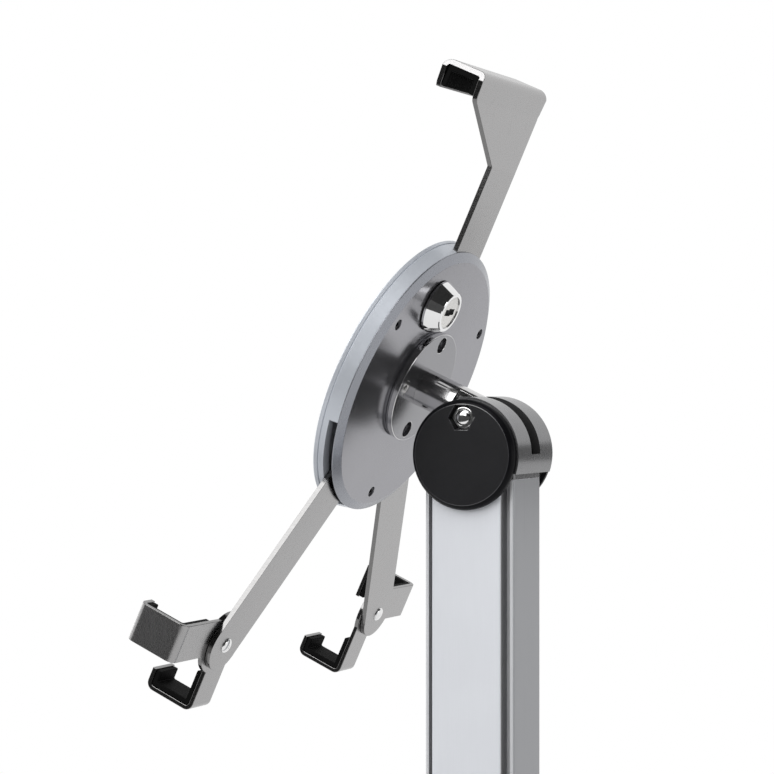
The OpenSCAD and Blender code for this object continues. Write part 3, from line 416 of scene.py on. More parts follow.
def joined_copy(node):
    """The solid's mesh as a mesh of its own, its loose triangles joined and its flat faces made whole."""
    shape = bmesh.new()
    shape.from_mesh(nodes[node].data)
    flat_enough = math.radians(0.3)
    bmesh.ops.remove_doubles(shape, verts=shape.verts, dist=SAME_CORNER)
    bmesh.ops.dissolve_limit(shape, angle_limit=flat_enough, verts=shape.verts, edges=shape.edges)
    for face in shape.faces:
        face.smooth = True
        face.material_index = MAIN_SLOT
    return shape


def mark_cut_faces(shape, thickness):
    """Gives the sheared faces of a sheet part the second material: behind them the steel runs deep."""
    sheet_depth = CUT_FACE_DEPTH * thickness * MM
    shape.faces.index_update()
    votes = {face.index: [] for face in shape.faces}
    split = shape.copy()
    keys = split.faces.layers.int.new("whole face")
    for face in split.faces:
        face[keys] = face.index
    bmesh.ops.triangulate(split, faces=split.faces)
    tree = BVHTree.FromBMesh(split)
    for part in split.faces:
        inwards = -part.normal
        place, _, _, depth = tree.ray_cast(part.calc_center_median() + inwards * JUST_INSIDE, inwards)
        deep = place is None or depth > sheet_depth
        votes[part[keys]].append(part.calc_area() if deep else -part.calc_area())
    split.free()
    for face in shape.faces:
        face.material_index = EDGE_SLOT if sum(votes[face.index]) > 0 else MAIN_SLOT


def true_rounds(piece, centre, axis):
    """Gives the turned faces about an axis the normals of the exact round, and the flat faces across
    it their own."""
    mesh = piece.data
    normals = [Vector(corner.vector) for corner in mesh.corner_normals]
    for face in mesh.polygons:
        along = face.normal.dot(axis)
        if abs(along) > SAME_WAY:
            for loop in face.loop_indices:
                normals[loop] = face.normal.copy()
            continue
        radial = face.center - centre
        radial -= radial.dot(axis) * axis
        if radial.length < FACE_ON_AXIS or abs(along) > NEARLY_SAME_WAY:
            continue
        flat = face.normal - along * axis
        if abs(flat.normalized().dot(radial.normalized())) < ALONG_SPOKE:
            continue
        outwards = 1.0 if flat.dot(radial) > 0 else -1.0
        for loop in face.loop_indices:
            spoke = mesh.vertices[mesh.loops[loop].vertex_index].co - centre
            spoke -= spoke.dot(axis) * axis
            if spoke.length > CORNER_ON_AXIS:
                normals[loop] = outwards * spoke.normalized() * flat.length + along * axis
    mesh.normals_split_custom_set(normals)


def settled(piece):
    """The piece's mesh with its modifiers worked in."""
    bpy.context.view_layer.update()
    mesh = bpy.data.meshes.new_from_object(piece.evaluated_get(bpy.context.evaluated_depsgraph_get()))
    mesh.name = piece.name
    piece.modifiers.clear()
    piece.data = mesh
    return mesh


def finish_piece(piece, width, steps=2, angle=32.0, edge_slot=FACES_SLOT, crease=24.0, clamp=True,
                 axes=(), slide=True):
    """Rounds the edges sharper than angle to width in millimetres, evens the normals across the
    edges softer than crease, and makes the result the piece's own mesh."""
    if width:
        rounding = piece.modifiers.new("rounded edges", "BEVEL")
        rounding.width = width * MM
        rounding.segments = steps
        rounding.limit_method = "ANGLE"
        rounding.angle_limit = math.radians(angle)
        rounding.miter_outer = "MITER_ARC"
        rounding.material = edge_slot
        rounding.use_clamp_overlap = clamp
        rounding.loop_slide = slide
    settled(piece).set_sharp_from_angle(angle=math.radians(crease))
    evened = piece.modifiers.new("even normals", "WEIGHTED_NORMAL")
    evened.keep_sharp = True
    settled(piece)
    for centre, axis in axes:
        true_rounds(piece, centre, axis)
    return piece


def new_piece(name, shape, finishes):
    """An object at the origin from a finished shape, with its finishes in order of their slots."""
    mesh = bpy.data.meshes.new(name)
    shape.to_mesh(mesh)
    shape.free()
    for finish in finishes:
        mesh.materials.append(finish)
    piece = bpy.data.objects.new(name, mesh)
    bpy.context.scene.collection.objects.link(piece)
    return piece


def fit(piece, node_names):
    """The piece stands for these solids: it rides on their body, and the solids are hidden."""
    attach(piece, body_of[node_names[0]])
    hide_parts(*node_names)
    return piece


def dress(node, width, steps=2, angle=32.0, thickness=0.0, main=None, edge=None, pick=None,
          crease=24.0, clamp=True, axes=(), slide=True, trim=None, reshape=None):
    """A rounded copy of one solid; edge is the finish of its rounded, sheared or picked faces, and
    trim that of the rounded edges beside picked ones."""
    shape = joined_copy(node)
    if reshape:
        reshape(shape)
    main = main or MATERIALS[slot_of[node]]
    finishes = [main] + [finish for finish in (edge, trim) if finish is not None]
    if thickness:
        mark_cut_faces(shape, thickness)
    if pick:
        for face in shape.faces:
            face.material_index = EDGE_SLOT if pick(face) else MAIN_SLOT
    piece = new_piece(node + "_dressed", shape, finishes)
    rounded = FACES_SLOT if edge is None or pick else EDGE_SLOT
    if trim:
        rounded = TRIM_SLOT
    finish_piece(piece, width, steps, angle, rounded, crease, clamp, axes, slide)
    return fit(piece, [node])


# Fasteners and feet, each kind one pattern set on its places

class Pattern:
    """A Geometry Nodes tree with named sizes, built node by node."""

    def __init__(self, name, sizes):
        self.tree = bpy.data.node_groups.new(name, "GeometryNodeTree")
        sockets = self.tree.interface
        sockets.new_socket("Geometry", in_out="INPUT", socket_type="NodeSocketGeometry")
        sockets.new_socket("Geometry", in_out="OUTPUT", socket_type="NodeSocketGeometry")
        self.ids = {}
        for label, value in sizes.items():
            kind = "NodeSocketVector" if isinstance(value, tuple) else "NodeSocketFloat"
            kind = "NodeSocketInt" if isinstance(value, int) else kind
            socket = sockets.new_socket(label, in_out="INPUT", socket_type=kind)
            socket.default_value = value
            self.ids[label] = socket.identifier
        self.inside = self.tree.nodes.new("NodeGroupInput")
        self.outside = self.tree.nodes.new("NodeGroupOutput")

    def size(self, label):
        return self.inside.outputs[label]

    def join(self, source, target):
        self.tree.links.new(source, target)

    def add(self, kind, sockets=None, **settings):
        made = self.tree.nodes.new(kind)
        for key, value in settings.items():
            setattr(made, key, value)
        for key, value in (sockets or {}).items():
            if isinstance(value, bpy.types.NodeSocket):
                self.join(value, made.inputs[key])
            else:
                made.inputs[key].default_value = value
        return made

    def sum(self, a, b, operation="ADD"):
        return self.add("ShaderNodeMath", {0: a, 1: b}, operation=operation).outputs[0]

    def up(self, height):
        return self.add("ShaderNodeCombineXYZ", {"Z": height}).outputs[0]

    def moved(self, mesh, place):
        return self.add("GeometryNodeTransform", {"Geometry": mesh, "Translation": place}).outputs[0]

    def cone(self, low, high, depth, at, around=32):
        """A cone or cylinder from the level at up to at + depth."""
        made = self.add("GeometryNodeMeshCone", {"Vertices": around, "Radius Top": high,
                                                 "Radius Bottom": low, "Depth": depth})
        return self.moved(made.outputs["Mesh"], self.up(at))

    def rod(self, radius, depth, at, around=32):
        """A cylinder from the level at up to at + depth."""
        return self.cone(radius, radius, depth, at, around)

    def cut(self, mesh, tool):
        made = self.add("GeometryNodeMeshBoolean", {0: mesh, 1: tool}, operation="DIFFERENCE",
                        solver="EXACT")
        return made.outputs[0]

    def united(self, *meshes):
        made = self.add("GeometryNodeMeshBoolean", operation="UNION", solver="EXACT")
        for mesh in meshes:
            self.join(mesh, made.inputs[1])
        return made.outputs[0]

    def set_out(self, mesh, finish):
        """Sets the shape on every point, turned by the pattern's Turn."""
        spots = self.add("GeometryNodeInstanceOnPoints",
                         {"Points": self.inside.outputs["Geometry"], "Instance": mesh,
                          "Rotation": self.size("Turn")})
        real = self.add("GeometryNodeRealizeInstances", {"Geometry": spots.outputs[0]})
        smooth = self.add("GeometryNodeSetShadeSmooth", {"Geometry": real.outputs[0]})
        dyed = self.add("GeometryNodeSetMaterial", {"Geometry": smooth.outputs[0]})
        dyed.inputs["Material"].default_value = finish
        self.join(dyed.outputs[0], self.outside.inputs[0])


# A hexagon's corner radius for each unit across its flats
CORNER_SHARE = 0.5774

# Lengths in metres by which a cut reaches past a face, and by which joined shapes overlap
PAST_FACE, SCREW_OVERLAP, RIVET_OVERLAP = 0.001, 0.0002, 0.0001


def socket_screw_pattern(name, finish):
    """A screw with a head, a six-sided socket and a shank below; its head's top is at the point."""
    pattern = Pattern(name, {
        "Head lower radius": 0.002, "Head upper radius": 0.0018, "Head height": 0.001,
        "Shank radius": 0.0012, "Shank length": 0.006, "Socket across": 0.0017, "Socket depth": 0.0008,
        "Turn": (0.0, 0.0, 0.0)})
    size, total = pattern.size, pattern.sum
    low = total(0.0, size("Head height"), "SUBTRACT")
    head = pattern.cone(size("Head lower radius"), size("Head upper radius"), size("Head height"), low)
    shank_low = total(low, size("Shank length"), "SUBTRACT")
    shank = pattern.rod(size("Shank radius"), total(size("Shank length"), SCREW_OVERLAP), shank_low)
    corner = total(size("Socket across"), CORNER_SHARE, "MULTIPLY")
    depth = size("Socket depth")
    socket = pattern.rod(corner, total(depth, PAST_FACE), total(0.0, depth, "SUBTRACT"), around=6)
    pattern.set_out(pattern.cut(pattern.united(head, shank), socket), finish)
    return pattern


def screw_sizes(head, shank, socket, turn):
    """A screw's sizes in metres: its head's lower and upper radius and height, its shank's radius and
    length, and its socket's width across flats and depth."""
    labels = ("Head lower radius", "Head upper radius", "Head height", "Shank radius", "Shank length",
              "Socket across", "Socket depth", "Turn")
    return dict(zip(labels, (*head, *shank, *socket, turn)))


def rivet_pattern(finish):
    """A domed head with a shallow dimple, a shank and a flat tail; the dome stands on the point."""
    pattern = Pattern("corner rivet", {
        "Head radius": 0.0029, "Head height": 0.0013, "Dimple radius": 0.0011, "Shank radius": 0.0024,
        "Grip": 0.0036, "Tail radius": 0.004, "Tail height": 0.0006, "Turn": (0.0, 0.0, 0.0)})
    size, total = pattern.size, pattern.sum
    ball = pattern.add("GeometryNodeMeshUVSphere", {"Segments": 40, "Rings": 24,
                                                    "Radius": size("Head radius")})
    squeeze = total(size("Head height"), size("Head radius"), "DIVIDE")
    stretch = pattern.add("ShaderNodeCombineXYZ", {"X": 1.0, "Y": 1.0, "Z": squeeze}).outputs[0]
    dome = pattern.add("GeometryNodeTransform", {"Geometry": ball.outputs[0], "Scale": stretch}).outputs[0]
    below = 0.006
    dome = pattern.cut(dome, pattern.rod(below, below, -below))
    dimple_floor, dimple_length, dimple_depth = 0.4, 0.0006, 0.00035
    dimple = pattern.cone(total(size("Dimple radius"), dimple_floor, "MULTIPLY"),
                          size("Dimple radius"), dimple_length,
                          total(size("Head height"), dimple_depth, "SUBTRACT"))
    dome = pattern.cut(dome, dimple)
    low = total(0.0, size("Grip"), "SUBTRACT")
    shank = pattern.rod(size("Shank radius"), total(size("Grip"), RIVET_OVERLAP), low)
    tail = pattern.rod(size("Tail radius"), size("Tail height"), low)
    pattern.set_out(pattern.united(dome, shank, tail), finish)
    return pattern


def foot_pattern(finish):
    """A rubber foot: a low tapered disc with a screw recess and rings of grip ribs under it."""
    pattern = Pattern("rubber foot", {
        "Radius": 0.014, "Height": 0.003, "Recess radius": 0.0041, "Recess depth": 0.0015,
        "Hole radius": 0.002, "Rings": 3, "Ring pitch": 0.0026, "Turn": (0.0, 0.0, 0.0)})
    size, total = pattern.size, pattern.sum
    taper, underside = 0.0006, 0.0004
    body = pattern.cone(total(size("Radius"), taper, "SUBTRACT"), size("Radius"),
                        total(size("Height"), underside, "SUBTRACT"), underside, around=64)
    recess = pattern.rod(size("Recess radius"), total(size("Recess depth"), PAST_FACE), -PAST_FACE)
    hole_length, hole_from = 0.01, -0.002
    hole = pattern.rod(size("Hole radius"), hole_length, hole_from, around=24)
    body = pattern.cut(pattern.cut(body, recess), hole)
    rib, first_ring = 0.0006, 0.0062
    line = pattern.add("GeometryNodeMeshLine", {"Count": size("Rings")})
    index = pattern.add("GeometryNodeInputIndex")
    out = total(total(index.outputs[0], size("Ring pitch"), "MULTIPLY"), first_ring)
    ring = pattern.add("GeometryNodeCurvePrimitiveCircle", {"Resolution": 64, "Radius": 1.0},
                       mode="RADIUS")
    section = pattern.add("GeometryNodeCurvePrimitiveCircle", {"Resolution": 6, "Radius": rib},
                          mode="RADIUS")
    wider = pattern.add("ShaderNodeCombineXYZ", {"X": out, "Y": out, "Z": 1.0})
    wide = pattern.add("GeometryNodeInstanceOnPoints",
                       {"Points": line.outputs[0], "Instance": ring.outputs[0], "Scale": wider.outputs[0]})
    real = pattern.add("GeometryNodeRealizeInstances", {"Geometry": wide.outputs[0]})
    here = pattern.add("GeometryNodeInputPosition")
    level = pattern.add("ShaderNodeVectorMath", {0: here.outputs[0], 1: (1.0, 1.0, 0.0)},
                        operation="MULTIPLY")
    flat = pattern.add("GeometryNodeSetPosition",
                       {"Geometry": real.outputs[0], "Position": level.outputs[0],
                        "Offset": (0.0, 0.0, rib)})
    ribs = pattern.add("GeometryNodeCurveToMesh", {"Curve": flat.outputs[0],
                                                   "Profile Curve": section.outputs[0]})
    whole = pattern.add("GeometryNodeJoinGeometry")
    pattern.join(body, whole.inputs[0])
    pattern.join(ribs.outputs[0], whole.inputs[0])
    pattern.set_out(whole.outputs[0], finish)
    return pattern


def set_on(name, pattern, places, sizes, node_names, width=0.0, steps=2):
    """Runs the pattern on its places and keeps the outcome as a plain mesh; sizes are in metres."""
    points = bmesh.new()
    for place in places:
        points.verts.new(place)
    piece = new_piece(name, points, [])
    laid_out = piece.modifiers.new("pattern", "NODES")
    laid_out.node_group = pattern.tree
    for label, value in sizes.items():
        laid_out[pattern.ids[label]] = value
    finish_piece(piece, width, steps)
    return fit(piece, node_names)


# Faces that take a second finish

def from_hub_axis(point):
    """How far out a point lies from the hub's axis, as a vector, and how far back along it."""
    away = point - HUB_MIDDLE
    along = away.dot(BEHIND)
    return away - along * BEHIND, along


def outer_face(node):
    """Picks the face of a hub part that lies furthest back."""
    same_level = 0.00005
    reach = max(v.co.dot(BEHIND) for v in nodes[node].data.vertices)
    return lambda face: all(abs(v.co.dot(BEHIND) - reach) < same_level for v in face.verts)


def inside_yoke(face):
    """Picks the faces of the yoke that lie within its band, which take painted shade."""
    middle = face.calc_center_median()
    within = math.hypot(middle.y, middle.z - HEAD_Z) < BAND_INSIDE * MM
    return within and abs(middle.x) < YOKE_HALF_GAP * MM


def cap_rim(face):
    """Picks the rounded rim of an end cap, which takes painted shade."""
    middle = face.calc_center_median()
    out = math.hypot(middle.y, middle.z - HEAD_Z)
    return out > CAP_FACE_RADIUS * MM and abs(face.normal.x) < NEARLY_SAME_WAY


def flange_rim(face):
    """Picks the flange's round steps that lie well outside the rod's root."""
    facing_back = 0.9
    out = from_hub_axis(face.calc_center_median())[0]
    return out.length > FLANGE_ROOT_RADIUS * MM and abs(face.normal.dot(BEHIND)) < facing_back


def cover_bevel(face):
    """Picks the bevelled rim of the hub's cover, and not its flat face with many corners."""
    many_corners = 12
    out = from_hub_axis(face.calc_center_median())[0]
    return out.length > COVER_FACE_RADIUS * MM and len(face.verts) < many_corners


# Shapes that are made finer than the solid

def even_flat_face(shape):
    """Cuts an end cap's outer face anew, evenly between its round edge and the nut's recess."""
    same_plane = 0.000002
    reach = max((vert.co.x for vert in shape.verts), key=abs)
    old = [face for face in shape.faces if all(abs(vert.co.x - reach) < same_plane for vert in face.verts)]
    border = [edge for edge in shape.edges if sum(face in old for face in edge.link_faces) == 1]
    bmesh.ops.delete(shape, geom=old, context="FACES")
    made = bmesh.ops.triangle_fill(shape, use_beauty=True, use_dissolve=False, edges=border)["geom"]
    for face in made:
        if isinstance(face, bmesh.types.BMFace):
            face.smooth = True
            if face.normal.x * reach < 0:
                face.normal_flip()


def short_root(shape):
    """Draws the rod's flared root in, so that the rod meets the flange in a thin line."""
    drawn_in, outside_rod = 0.97, 0.00001
    for vert in shape.verts:
        out, along = from_hub_axis(vert.co)
        extra = out.length - ROD_RADIUS * MM
        if extra > outside_rod and along < (FLANGE_OUT + ROOT_HEIGHT) * MM:
            vert.co -= out.normalized() * extra * drawn_in


def domed_bolt_end(shape):
    """Shortens the bolt's threaded end and rounds it to a low dome."""
    end_from, shorter = 19.8, 1.3
    for vert in shape.verts:
        if vert.co.x > end_from * MM:
            vert.co.x -= shorter * MM
    end = max(shape.faces, key=lambda face: face.calc_center_median().x if face.normal.x > 0.99 else -1.0)
    dome_steps, tip = ((0.5, 0.22), (0.6, 0.16), (0.6, 0.08)), 0.02
    for inset, rise in dome_steps:
        bmesh.ops.inset_individual(shape, faces=[end], thickness=inset * MM, depth=rise * MM)
    bmesh.ops.poke(shape, faces=[end], offset=tip * MM)


def turned_shell(around, section, place):
    """A closed shell: the section, a closed outline of radius and level at each angle, goes once
    round."""
    shape = bmesh.new()
    loops = []
    for step in range(around):
        angle = 2 * math.pi * step / around
        loops.append([shape.verts.new(place(radius, level, angle)) for radius, level in section(angle)])
    for here, there in zip(loops, loops[1:] + loops[:1]):
        for k in range(len(here)):
            after = (k + 1) % len(here)
            shape.faces.new((here[k], here[after], there[after], there[k]))
    bmesh.ops.recalc_face_normals(shape, faces=shape.faces)
    for face in shape.faces:
        face.smooth = True
    return shape


def chamfered_nut(node, flats, bore, low, high, chamfer):
    """A six-sided nut on the tilt bolt with turned chamfers and a countersunk thread, low to high in x."""
    middle_y, middle_z = ((a + b) / 2 for a, b in list(zip(*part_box(node)))[1:])
    face_edge = flats / 2 - chamfer
    slope = math.tan(math.radians(34))
    sink, edge_width, edge_fall = 0.55, 0.1, 0.06
    inner_edge, outer_edge, outer_fall = 0.08, 0.06, 0.04

    def section(angle):
        flat = angle % (math.pi / 3) - math.pi / 6
        corner = flats / 2 / math.cos(flat)
        fall = (corner - face_edge) * slope
        return [(bore, low), (bore, high - sink), (bore + (sink - edge_width), high - edge_fall),
                (bore + sink, high), (face_edge - inner_edge, high),
                (face_edge + outer_edge, high - outer_fall), (corner, high - fall),
                (corner, low + 0.5 * fall), (face_edge, low)]

    def place(radius, level, angle):
        out = radius * MM
        return (level * MM, middle_y + out * math.cos(angle), middle_z + out * math.sin(angle))

    piece = new_piece(node + "_dressed", turned_shell(96, section, place), [BRIGHT_NUT])
    return fit(finish_piece(piece, 0.0, crease=20.0), [node])


def grooved_pad():
    """The round rubber pad on the hub's front, with rings sunk into its face."""
    outer, inner, deep = 46.4, 10.0, 3.4
    small, large = 0.3, 1.0
    groove_depth, floor_from, floor_to, groove_width = 0.6, 0.2, 1.3, 1.5
    profile = [(inner, deep), (inner, small), (inner + small, 0.0)]
    for ring in (15.0, 21.0, 27.0, 33.0, 39.0):
        profile += [(ring, 0.0), (ring + floor_from, groove_depth), (ring + floor_to, groove_depth),
                    (ring + groove_width, 0.0)]
    profile += [(outer - large, 0.0), (outer - small, small), (outer, large), (outer, deep)]

    def place(radius, level, angle):
        return hub_point(radius * math.cos(angle), PAD_FACE + level, radius * math.sin(angle))

    shape = turned_shell(128, lambda angle: profile, place)
    piece = new_piece("grooved_hub_pad", shape, [MATERIALS["rubber"]])
    return fit(finish_piece(piece, 0.12, steps=1), ["hub_pad"])


def keyway_shutter():
    """The dark spring shutter inside the lock's keyway, in two stepped halves."""
    shape = bmesh.new()
    width, length, step = 2.2, 7.2, 0.5
    plug_sunk, shutter_sunk, deep = 0.4, 1.0, 2.4
    middle = COVER_OUT + BEZEL_HEIGHT - plug_sunk - (shutter_sunk + deep / 2)
    for side in (-1, 1):
        block = bmesh.ops.create_cube(shape, size=1.0)["verts"]
        half = (length + width) / 2
        for vert in block:
            u = LOCK[0] + side * (length - width) / 4 + vert.co.x * half
            v = LOCK[1] - side * step / 2 + vert.co.z * width
            vert.co = hub_point(u, middle + vert.co.y * deep, v)
    piece = new_piece("keyway_shutter", shape, [KEY_DARK])
    finish_piece(piece, 0.08)
    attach(piece, "lock")


# The stand, group by group

def four_corners(at, level):
    """The four places that mirror one another across the base, from one corner in millimetres."""
    return [(i * at[0] * MM, j * at[1] * MM, level * MM) for i in (-1, 1) for j in (-1, 1)]


def make_base():
    dress("base_plate", 0.5, steps=3)
    dress("pole_skirt", 0.7, steps=3)
    foot = foot_pattern(MATERIALS["rubber"])
    set_on("rubber_feet", foot, four_corners(FOOT_AT, 0), {}, ["base_feet"],
           width=0.15, steps=1)
    screw = socket_screw_pattern("foot screw", MATERIALS["zinc"])
    sizes = screw_sizes((0.004, 0.0037, 0.001), (0.00195, 0.0064), (0.0025, 0.0008), DOWNWARD)
    set_on("feet_screws", screw, four_corners(FOOT_AT, FOOT_SCREW_LEVEL), sizes, ["foot_screws"],
           width=0.15)
    bolt = socket_screw_pattern("base bolt", MATERIALS["zinc"])
    sizes = screw_sizes((0.003, 0.0059, 0.0029), (0.0029, 0.010), (0.004, 0.002), DOWNWARD)
    set_on("countersunk_base_bolts", bolt, four_corners(BASE_BOLT_AT, BASE_BOLT_LEVEL), sizes,
           ["base_bolts"], width=0.15)


def faces_across(face):
    """Picks the faces that look right or left."""
    return abs(face.normal.x) > ROUGHLY_SAME_WAY


def faces_along(face):
    """Picks the faces that look forward or back."""
    return abs(face.normal.y) > ROUGHLY_SAME_WAY


def make_pole_and_head():
    # The pole's faces that look right or left and their rounded edges take painted light
    dress("pole", 0.3, edge=POLE_PAINTED_LIGHT, pick=faces_across, trim=POLE_PAINTED_LIGHT)
    # The side panels' faces that look forward or back take painted shade
    for side in ("right", "left"):
        dress("side_panel_" + side, 0.2, edge=PANEL_SIDE_PAINTED_SHADE, pick=faces_along)
    # The yoke's faces within its band take painted shade
    dress("yoke", 0.4, steps=3, edge=YOKE_INSIDE_PAINTED_SHADE, pick=inside_yoke, axes=HEAD_AXIS)
    # End caps: painted shade on the rounded rim and a painted sheen on the rounded edge between rim and
    # face
    for side in ("right", "left"):
        dress("end_cap_" + side, 0.14, angle=20.0, edge=CAP_RIM_PAINTED_SHADE, pick=cap_rim, trim=CAP_EDGE_PAINTED_SHEEN,
              crease=16.0, axes=HEAD_AXIS, slide=False, reshape=even_flat_face)
    dress("bolt_washers", 0.1)
    dress("tilt_bolt", 0.12, angle=50.0, main=BRIGHT_NUT, reshape=domed_bolt_end)
    chamfered_nut("tilt_nut", flats=8.0, bore=2.5, low=17.6, high=18.9, chamfer=0.25)


def make_neck():
    dress("neck_rod", 0.2, angle=50.0, axes=HUB_AXIS, reshape=short_root)
    dress("neck_flange", 0.22, steps=3, edge=MATERIALS["polished_steel"], main=FLANGE_FACE,
          pick=flange_rim, trim=MATERIALS["polished_steel"], axes=HUB_AXIS)
    dress("backing_plate", 0.12, main=FLANGE_FACE, axes=HUB_AXIS)
    screw = socket_screw_pattern("flange screw", MATERIALS["stainless"])
    places = [hub_point(side * FLANGE_SCREW_OUT, FLANGE_OUT, 0) for side in (-1, 1)]
    sizes = screw_sizes((0.0015, 0.00265, 0.0012), (0.00145, 0.0017), (0.002, 0.0009), OUT_OF_HUB)
    set_on("countersunk_flange_screws", screw, places, sizes, ["flange_screws"], width=0.1)


def make_hub():
    dress("hub_cover", 0.18, angle=20.0, edge=COVER_BEVEL, pick=cover_bevel, axes=HUB_AXIS)
    dress("hub_ring", 0.0, main=HUB_EDGE, axes=HUB_AXIS)
    dress("hub_front", 0.25, main=HUB_EDGE, axes=HUB_AXIS)
    grooved_pad()
    screw = socket_screw_pattern("cover screw", MATERIALS["black_screw"])
    turns = [math.radians(FIRST_COVER_SCREW + 120 * k) for k in range(3)]
    places = [hub_point(COVER_SCREW_RING * math.cos(turn), COVER_OUT - COVER_SCREW_SUNK,
                        COVER_SCREW_RING * math.sin(turn)) for turn in turns]
    sizes = screw_sizes((0.0020, 0.0019, 0.0008), (0.0012, 0.0075), (0.0017, 0.0007), OUT_OF_HUB)
    set_on("cover_screws", screw, places, sizes, ["hub_screws"], width=0.12)
    dress("lock_gasket", 0.1, axes=LOCK_AXIS)
    dress("lock_body", 0.22, steps=3, axes=LOCK_AXIS)
    dress("lock_plug", 0.15, edge=PLUG_FACE, pick=outer_face("lock_plug"), axes=LOCK_AXIS)
    keyway_shutter()


def make_arms():
    dress("upper_arm", 0.16, thickness=2.0, edge=CUT_EDGE_AND_PAINTED_SHADE, clamp=False)
    dress("hook_pad", 0.45, steps=3)
    rivet = rivet_pattern(BRIGHT_NUT)
    for side, sign in (("right", 1), ("left", -1)):
        dress("lower_arm_" + side, 0.2, thickness=1.8, edge=CUT_EDGE_AND_PAINTED_SHADE)
        dress("corner_bracket_" + side, 0.16, thickness=1.6, edge=CUT_EDGE_AND_PAINTED_SHADE, clamp=False)
        dress("corner_pads_" + side, 0.45, steps=3)
        set_on("rivet_" + side, rivet, [hub_point(sign * RIVET_AT[0], ARM_BACK, RIVET_AT[1])],
               {"Grip": (ARM_BACK - RIVET_TAIL) * MM, "Turn": OUT_OF_HUB}, ["corner_rivet_" + side],
               width=0.12)


finish_solids()
make_base()
make_pole_and_head()
make_neck()
make_hub()
make_arms()


# Light, floor and camera

# The camera's place in metres, the level way it looks, and its lens and sensor in millimetres
CAMERA_AT = (0.8017, 0.3330, PIVOT.z + 0.01105)
CAMERA_LOOK = Vector((-0.907, -0.421, 0.0))
LENS, SENSOR = 109.1, 36.0

# The floor's radius and level, and the reach of a cloth round the head, in metres
FLOOR_RADIUS, FLOOR_LEVEL = 4.5, -0.0002
CLOTH_REACH = 2.4


def make_softbox(name, at, size, power):
    """A rectangular lamp that faces the head."""
    lamp = bpy.data.lights.new(name, "AREA")
    lamp.shape = "RECTANGLE"
    lamp.size, lamp.size_y = size
    lamp.energy = power
    piece = bpy.data.objects.new(name, lamp)
    bpy.context.scene.collection.objects.link(piece)
    piece.location = at
    piece.rotation_euler = (Vector((0, 0, HEAD_Z)) - Vector(at)).to_track_quat("-Z", "Y").to_euler()


def make_world():
    """A soft grey light all round, which the camera and every reflection see as white."""
    world = bpy.data.worlds.new("studio")
    bpy.context.scene.world = world
    world.use_nodes = True
    tree = world.node_tree
    tree.nodes.clear()
    path = tree.nodes.new("ShaderNodeLightPath")
    seen = path.outputs["Is Camera Ray"]
    for kind in ("Is Glossy Ray", "Is Transmission Ray"):
        either = tree.nodes.new("ShaderNodeMath")
        either.operation = "MAXIMUM"
        tree.links.new(seen, either.inputs[0])
        tree.links.new(path.outputs[kind], either.inputs[1])
        seen = either.outputs[0]
    soft = tree.nodes.new("ShaderNodeBackground")
    soft.inputs["Strength"].default_value = 0.5
    white = tree.nodes.new("ShaderNodeBackground")
    white.inputs["Color"].default_value = (1.0, 1.0, 1.0, 1.0)
    mix = tree.nodes.new("ShaderNodeMixShader")
    tree.links.new(seen, mix.inputs[0])
    tree.links.new(soft.outputs[0], mix.inputs[1])
    tree.links.new(white.outputs[0], mix.inputs[2])
    output = tree.nodes.new("ShaderNodeOutputWorld")
    tree.links.new(mix.outputs[0], output.inputs["Surface"])


def make_floor():
    """A round pale floor that keeps the shadow and runs out to white."""
    bpy.ops.mesh.primitive_circle_add(vertices=96, radius=FLOOR_RADIUS, fill_type="NGON",
                                      location=(0, 0, FLOOR_LEVEL))
    floor = bpy.context.object
    floor.name = "floor"
    paint = Finish("floor paint").set(Roughness=0.9, Base_Color=(0.86, 0.86, 0.86, 1.0))
    glow = paint.add("ShaderNodeEmission")
    glow.inputs["Color"].default_value = (1.0, 1.0, 1.0, 1.0)
    path = paint.add("ShaderNodeLightPath")
    where = paint.add("ShaderNodeTexCoord")
    away = paint.add("ShaderNodeVectorMath", operation="LENGTH")
    paint.join(where.outputs["Object"], away.inputs[0])
    fade = paint.add("ShaderNodeMapRange")
    near_and_far = {"From Min": 0.5, "From Max": 2.4, "To Min": 0.72, "To Max": 1.0}
    for key, value in near_and_far.items():
        fade.inputs[key].default_value = value
    paint.join(away.outputs["Value"], fade.inputs["Value"])
    seen = paint.add("ShaderNodeMath", operation="MAXIMUM")
    paint.join(path.outputs["Is Camera Ray"], seen.inputs[0])
    paint.join(path.outputs["Is Glossy Ray"], seen.inputs[1])
    part = paint.add("ShaderNodeMath", operation="MULTIPLY")
    paint.join(seen.outputs[0], part.inputs[0])
    paint.join(fade.outputs["Result"], part.inputs[1])
    mix = paint.add("ShaderNodeMixShader")
    paint.join(part.outputs[0], mix.inputs[0])
    paint.join(paint.shader.outputs[0], mix.inputs[1])
    paint.join(glow.outputs[0], mix.inputs[2])
    output = next(n for n in paint.tree.nodes if n.type == "OUTPUT_MATERIAL")
    paint.join(mix.outputs[0], output.inputs["Surface"])
    floor.data.materials.append(paint.material)


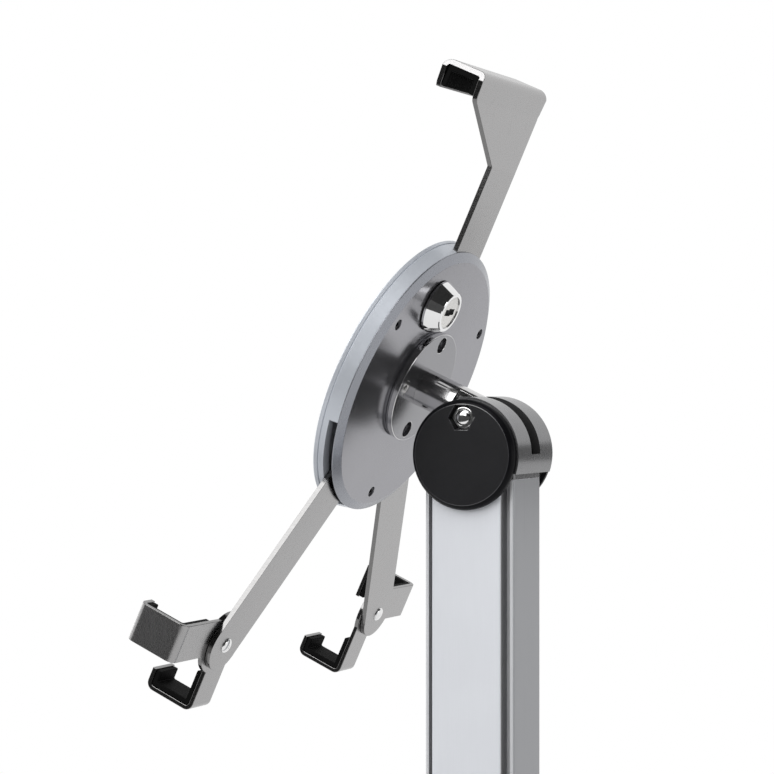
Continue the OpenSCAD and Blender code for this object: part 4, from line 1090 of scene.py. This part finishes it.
def make_cloth(name, turns, rises, tone, reach=CLOTH_REACH):
    """A dark bent studio cloth round the head, from turn to turn and rise to rise in degrees; it only
    shows in the reflections."""
    shape = bmesh.new()
    levels, columns = 8, 24
    rows = []
    for k in range(levels + 1):
        rise = math.radians(rises[0] + (rises[1] - rises[0]) * k / levels)
        row = []
        for j in range(columns + 1):
            turn = math.radians(turns[0] + (turns[1] - turns[0]) * j / columns)
            level = math.cos(rise)
            away = Vector((level * math.cos(turn), level * math.sin(turn), math.sin(rise)))
            row.append(shape.verts.new(Vector((0, 0, HEAD_Z)) + away * reach))
        rows.append(row)
    for low, high in zip(rows, rows[1:]):
        for j in range(columns):
            shape.faces.new((low[j], high[j], high[j + 1], low[j + 1]))
    cloth = Finish(name + " cloth").set(Roughness=0.95)
    dark = (tone, tone, tone)
    cloth.feed("Base Color", cloth.colours(cloth.noise(300.0), dark, shade(dark, 1.3)))
    board = new_piece(name, shape, [cloth.material])
    board.visible_camera = False
    board.visible_diffuse = False
    board.visible_shadow = False
    board.visible_transmission = False


def make_studio():
    make_softbox("top softbox", at=(1.15, -0.1, 2.7), size=(1.5, 1.2), power=18.0)
    make_softbox("left softbox", at=(2.25, -0.7, 2.15), size=(1.8, 1.3), power=22.0)
    make_softbox("back softbox", at=(0.3, 2.7, 1.7), size=(1.6, 1.6), power=10.0)
    make_softbox("front softbox", at=(-1.4, -2.4, 2.0), size=(1.6, 1.6), power=18.0)
    make_cloth("camera side cloth", turns=(3, 125), rises=(8, 60), tone=0.02)
    make_cloth("low cloth", turns=(-60, 70), rises=(-26, 11), tone=0.07)
    make_cloth("knee cloth", turns=(5, 70), rises=(-44, -25), tone=0.03)
    make_cloth("under cloth", turns=(-100, -62), rises=(-52, -30), tone=0.04)
    make_cloth("small cloth behind the yoke", turns=(141, 158), rises=(-7, 7), tone=0.06, reach=0.2)
    make_cloth("ceiling cloth", turns=(60, 300), rises=(62, 77), tone=0.03)
    make_cloth("overhead cloth", turns=(0, 360), rises=(77, 89.5), tone=0.03)


def make_camera():
    lens = bpy.data.cameras.new("camera")
    lens.sensor_width = SENSOR
    lens.lens = LENS
    lens.clip_end = 50.0
    camera = bpy.data.objects.new("camera", lens)
    bpy.context.scene.collection.objects.link(camera)
    camera.location = CAMERA_AT
    camera.rotation_euler = CAMERA_LOOK.to_track_quat("-Z", "Y").to_euler()
    bpy.context.scene.camera = camera


make_world()
make_floor()
make_studio()
make_camera()
bpy.context.scene.view_settings.view_transform = "Standard"
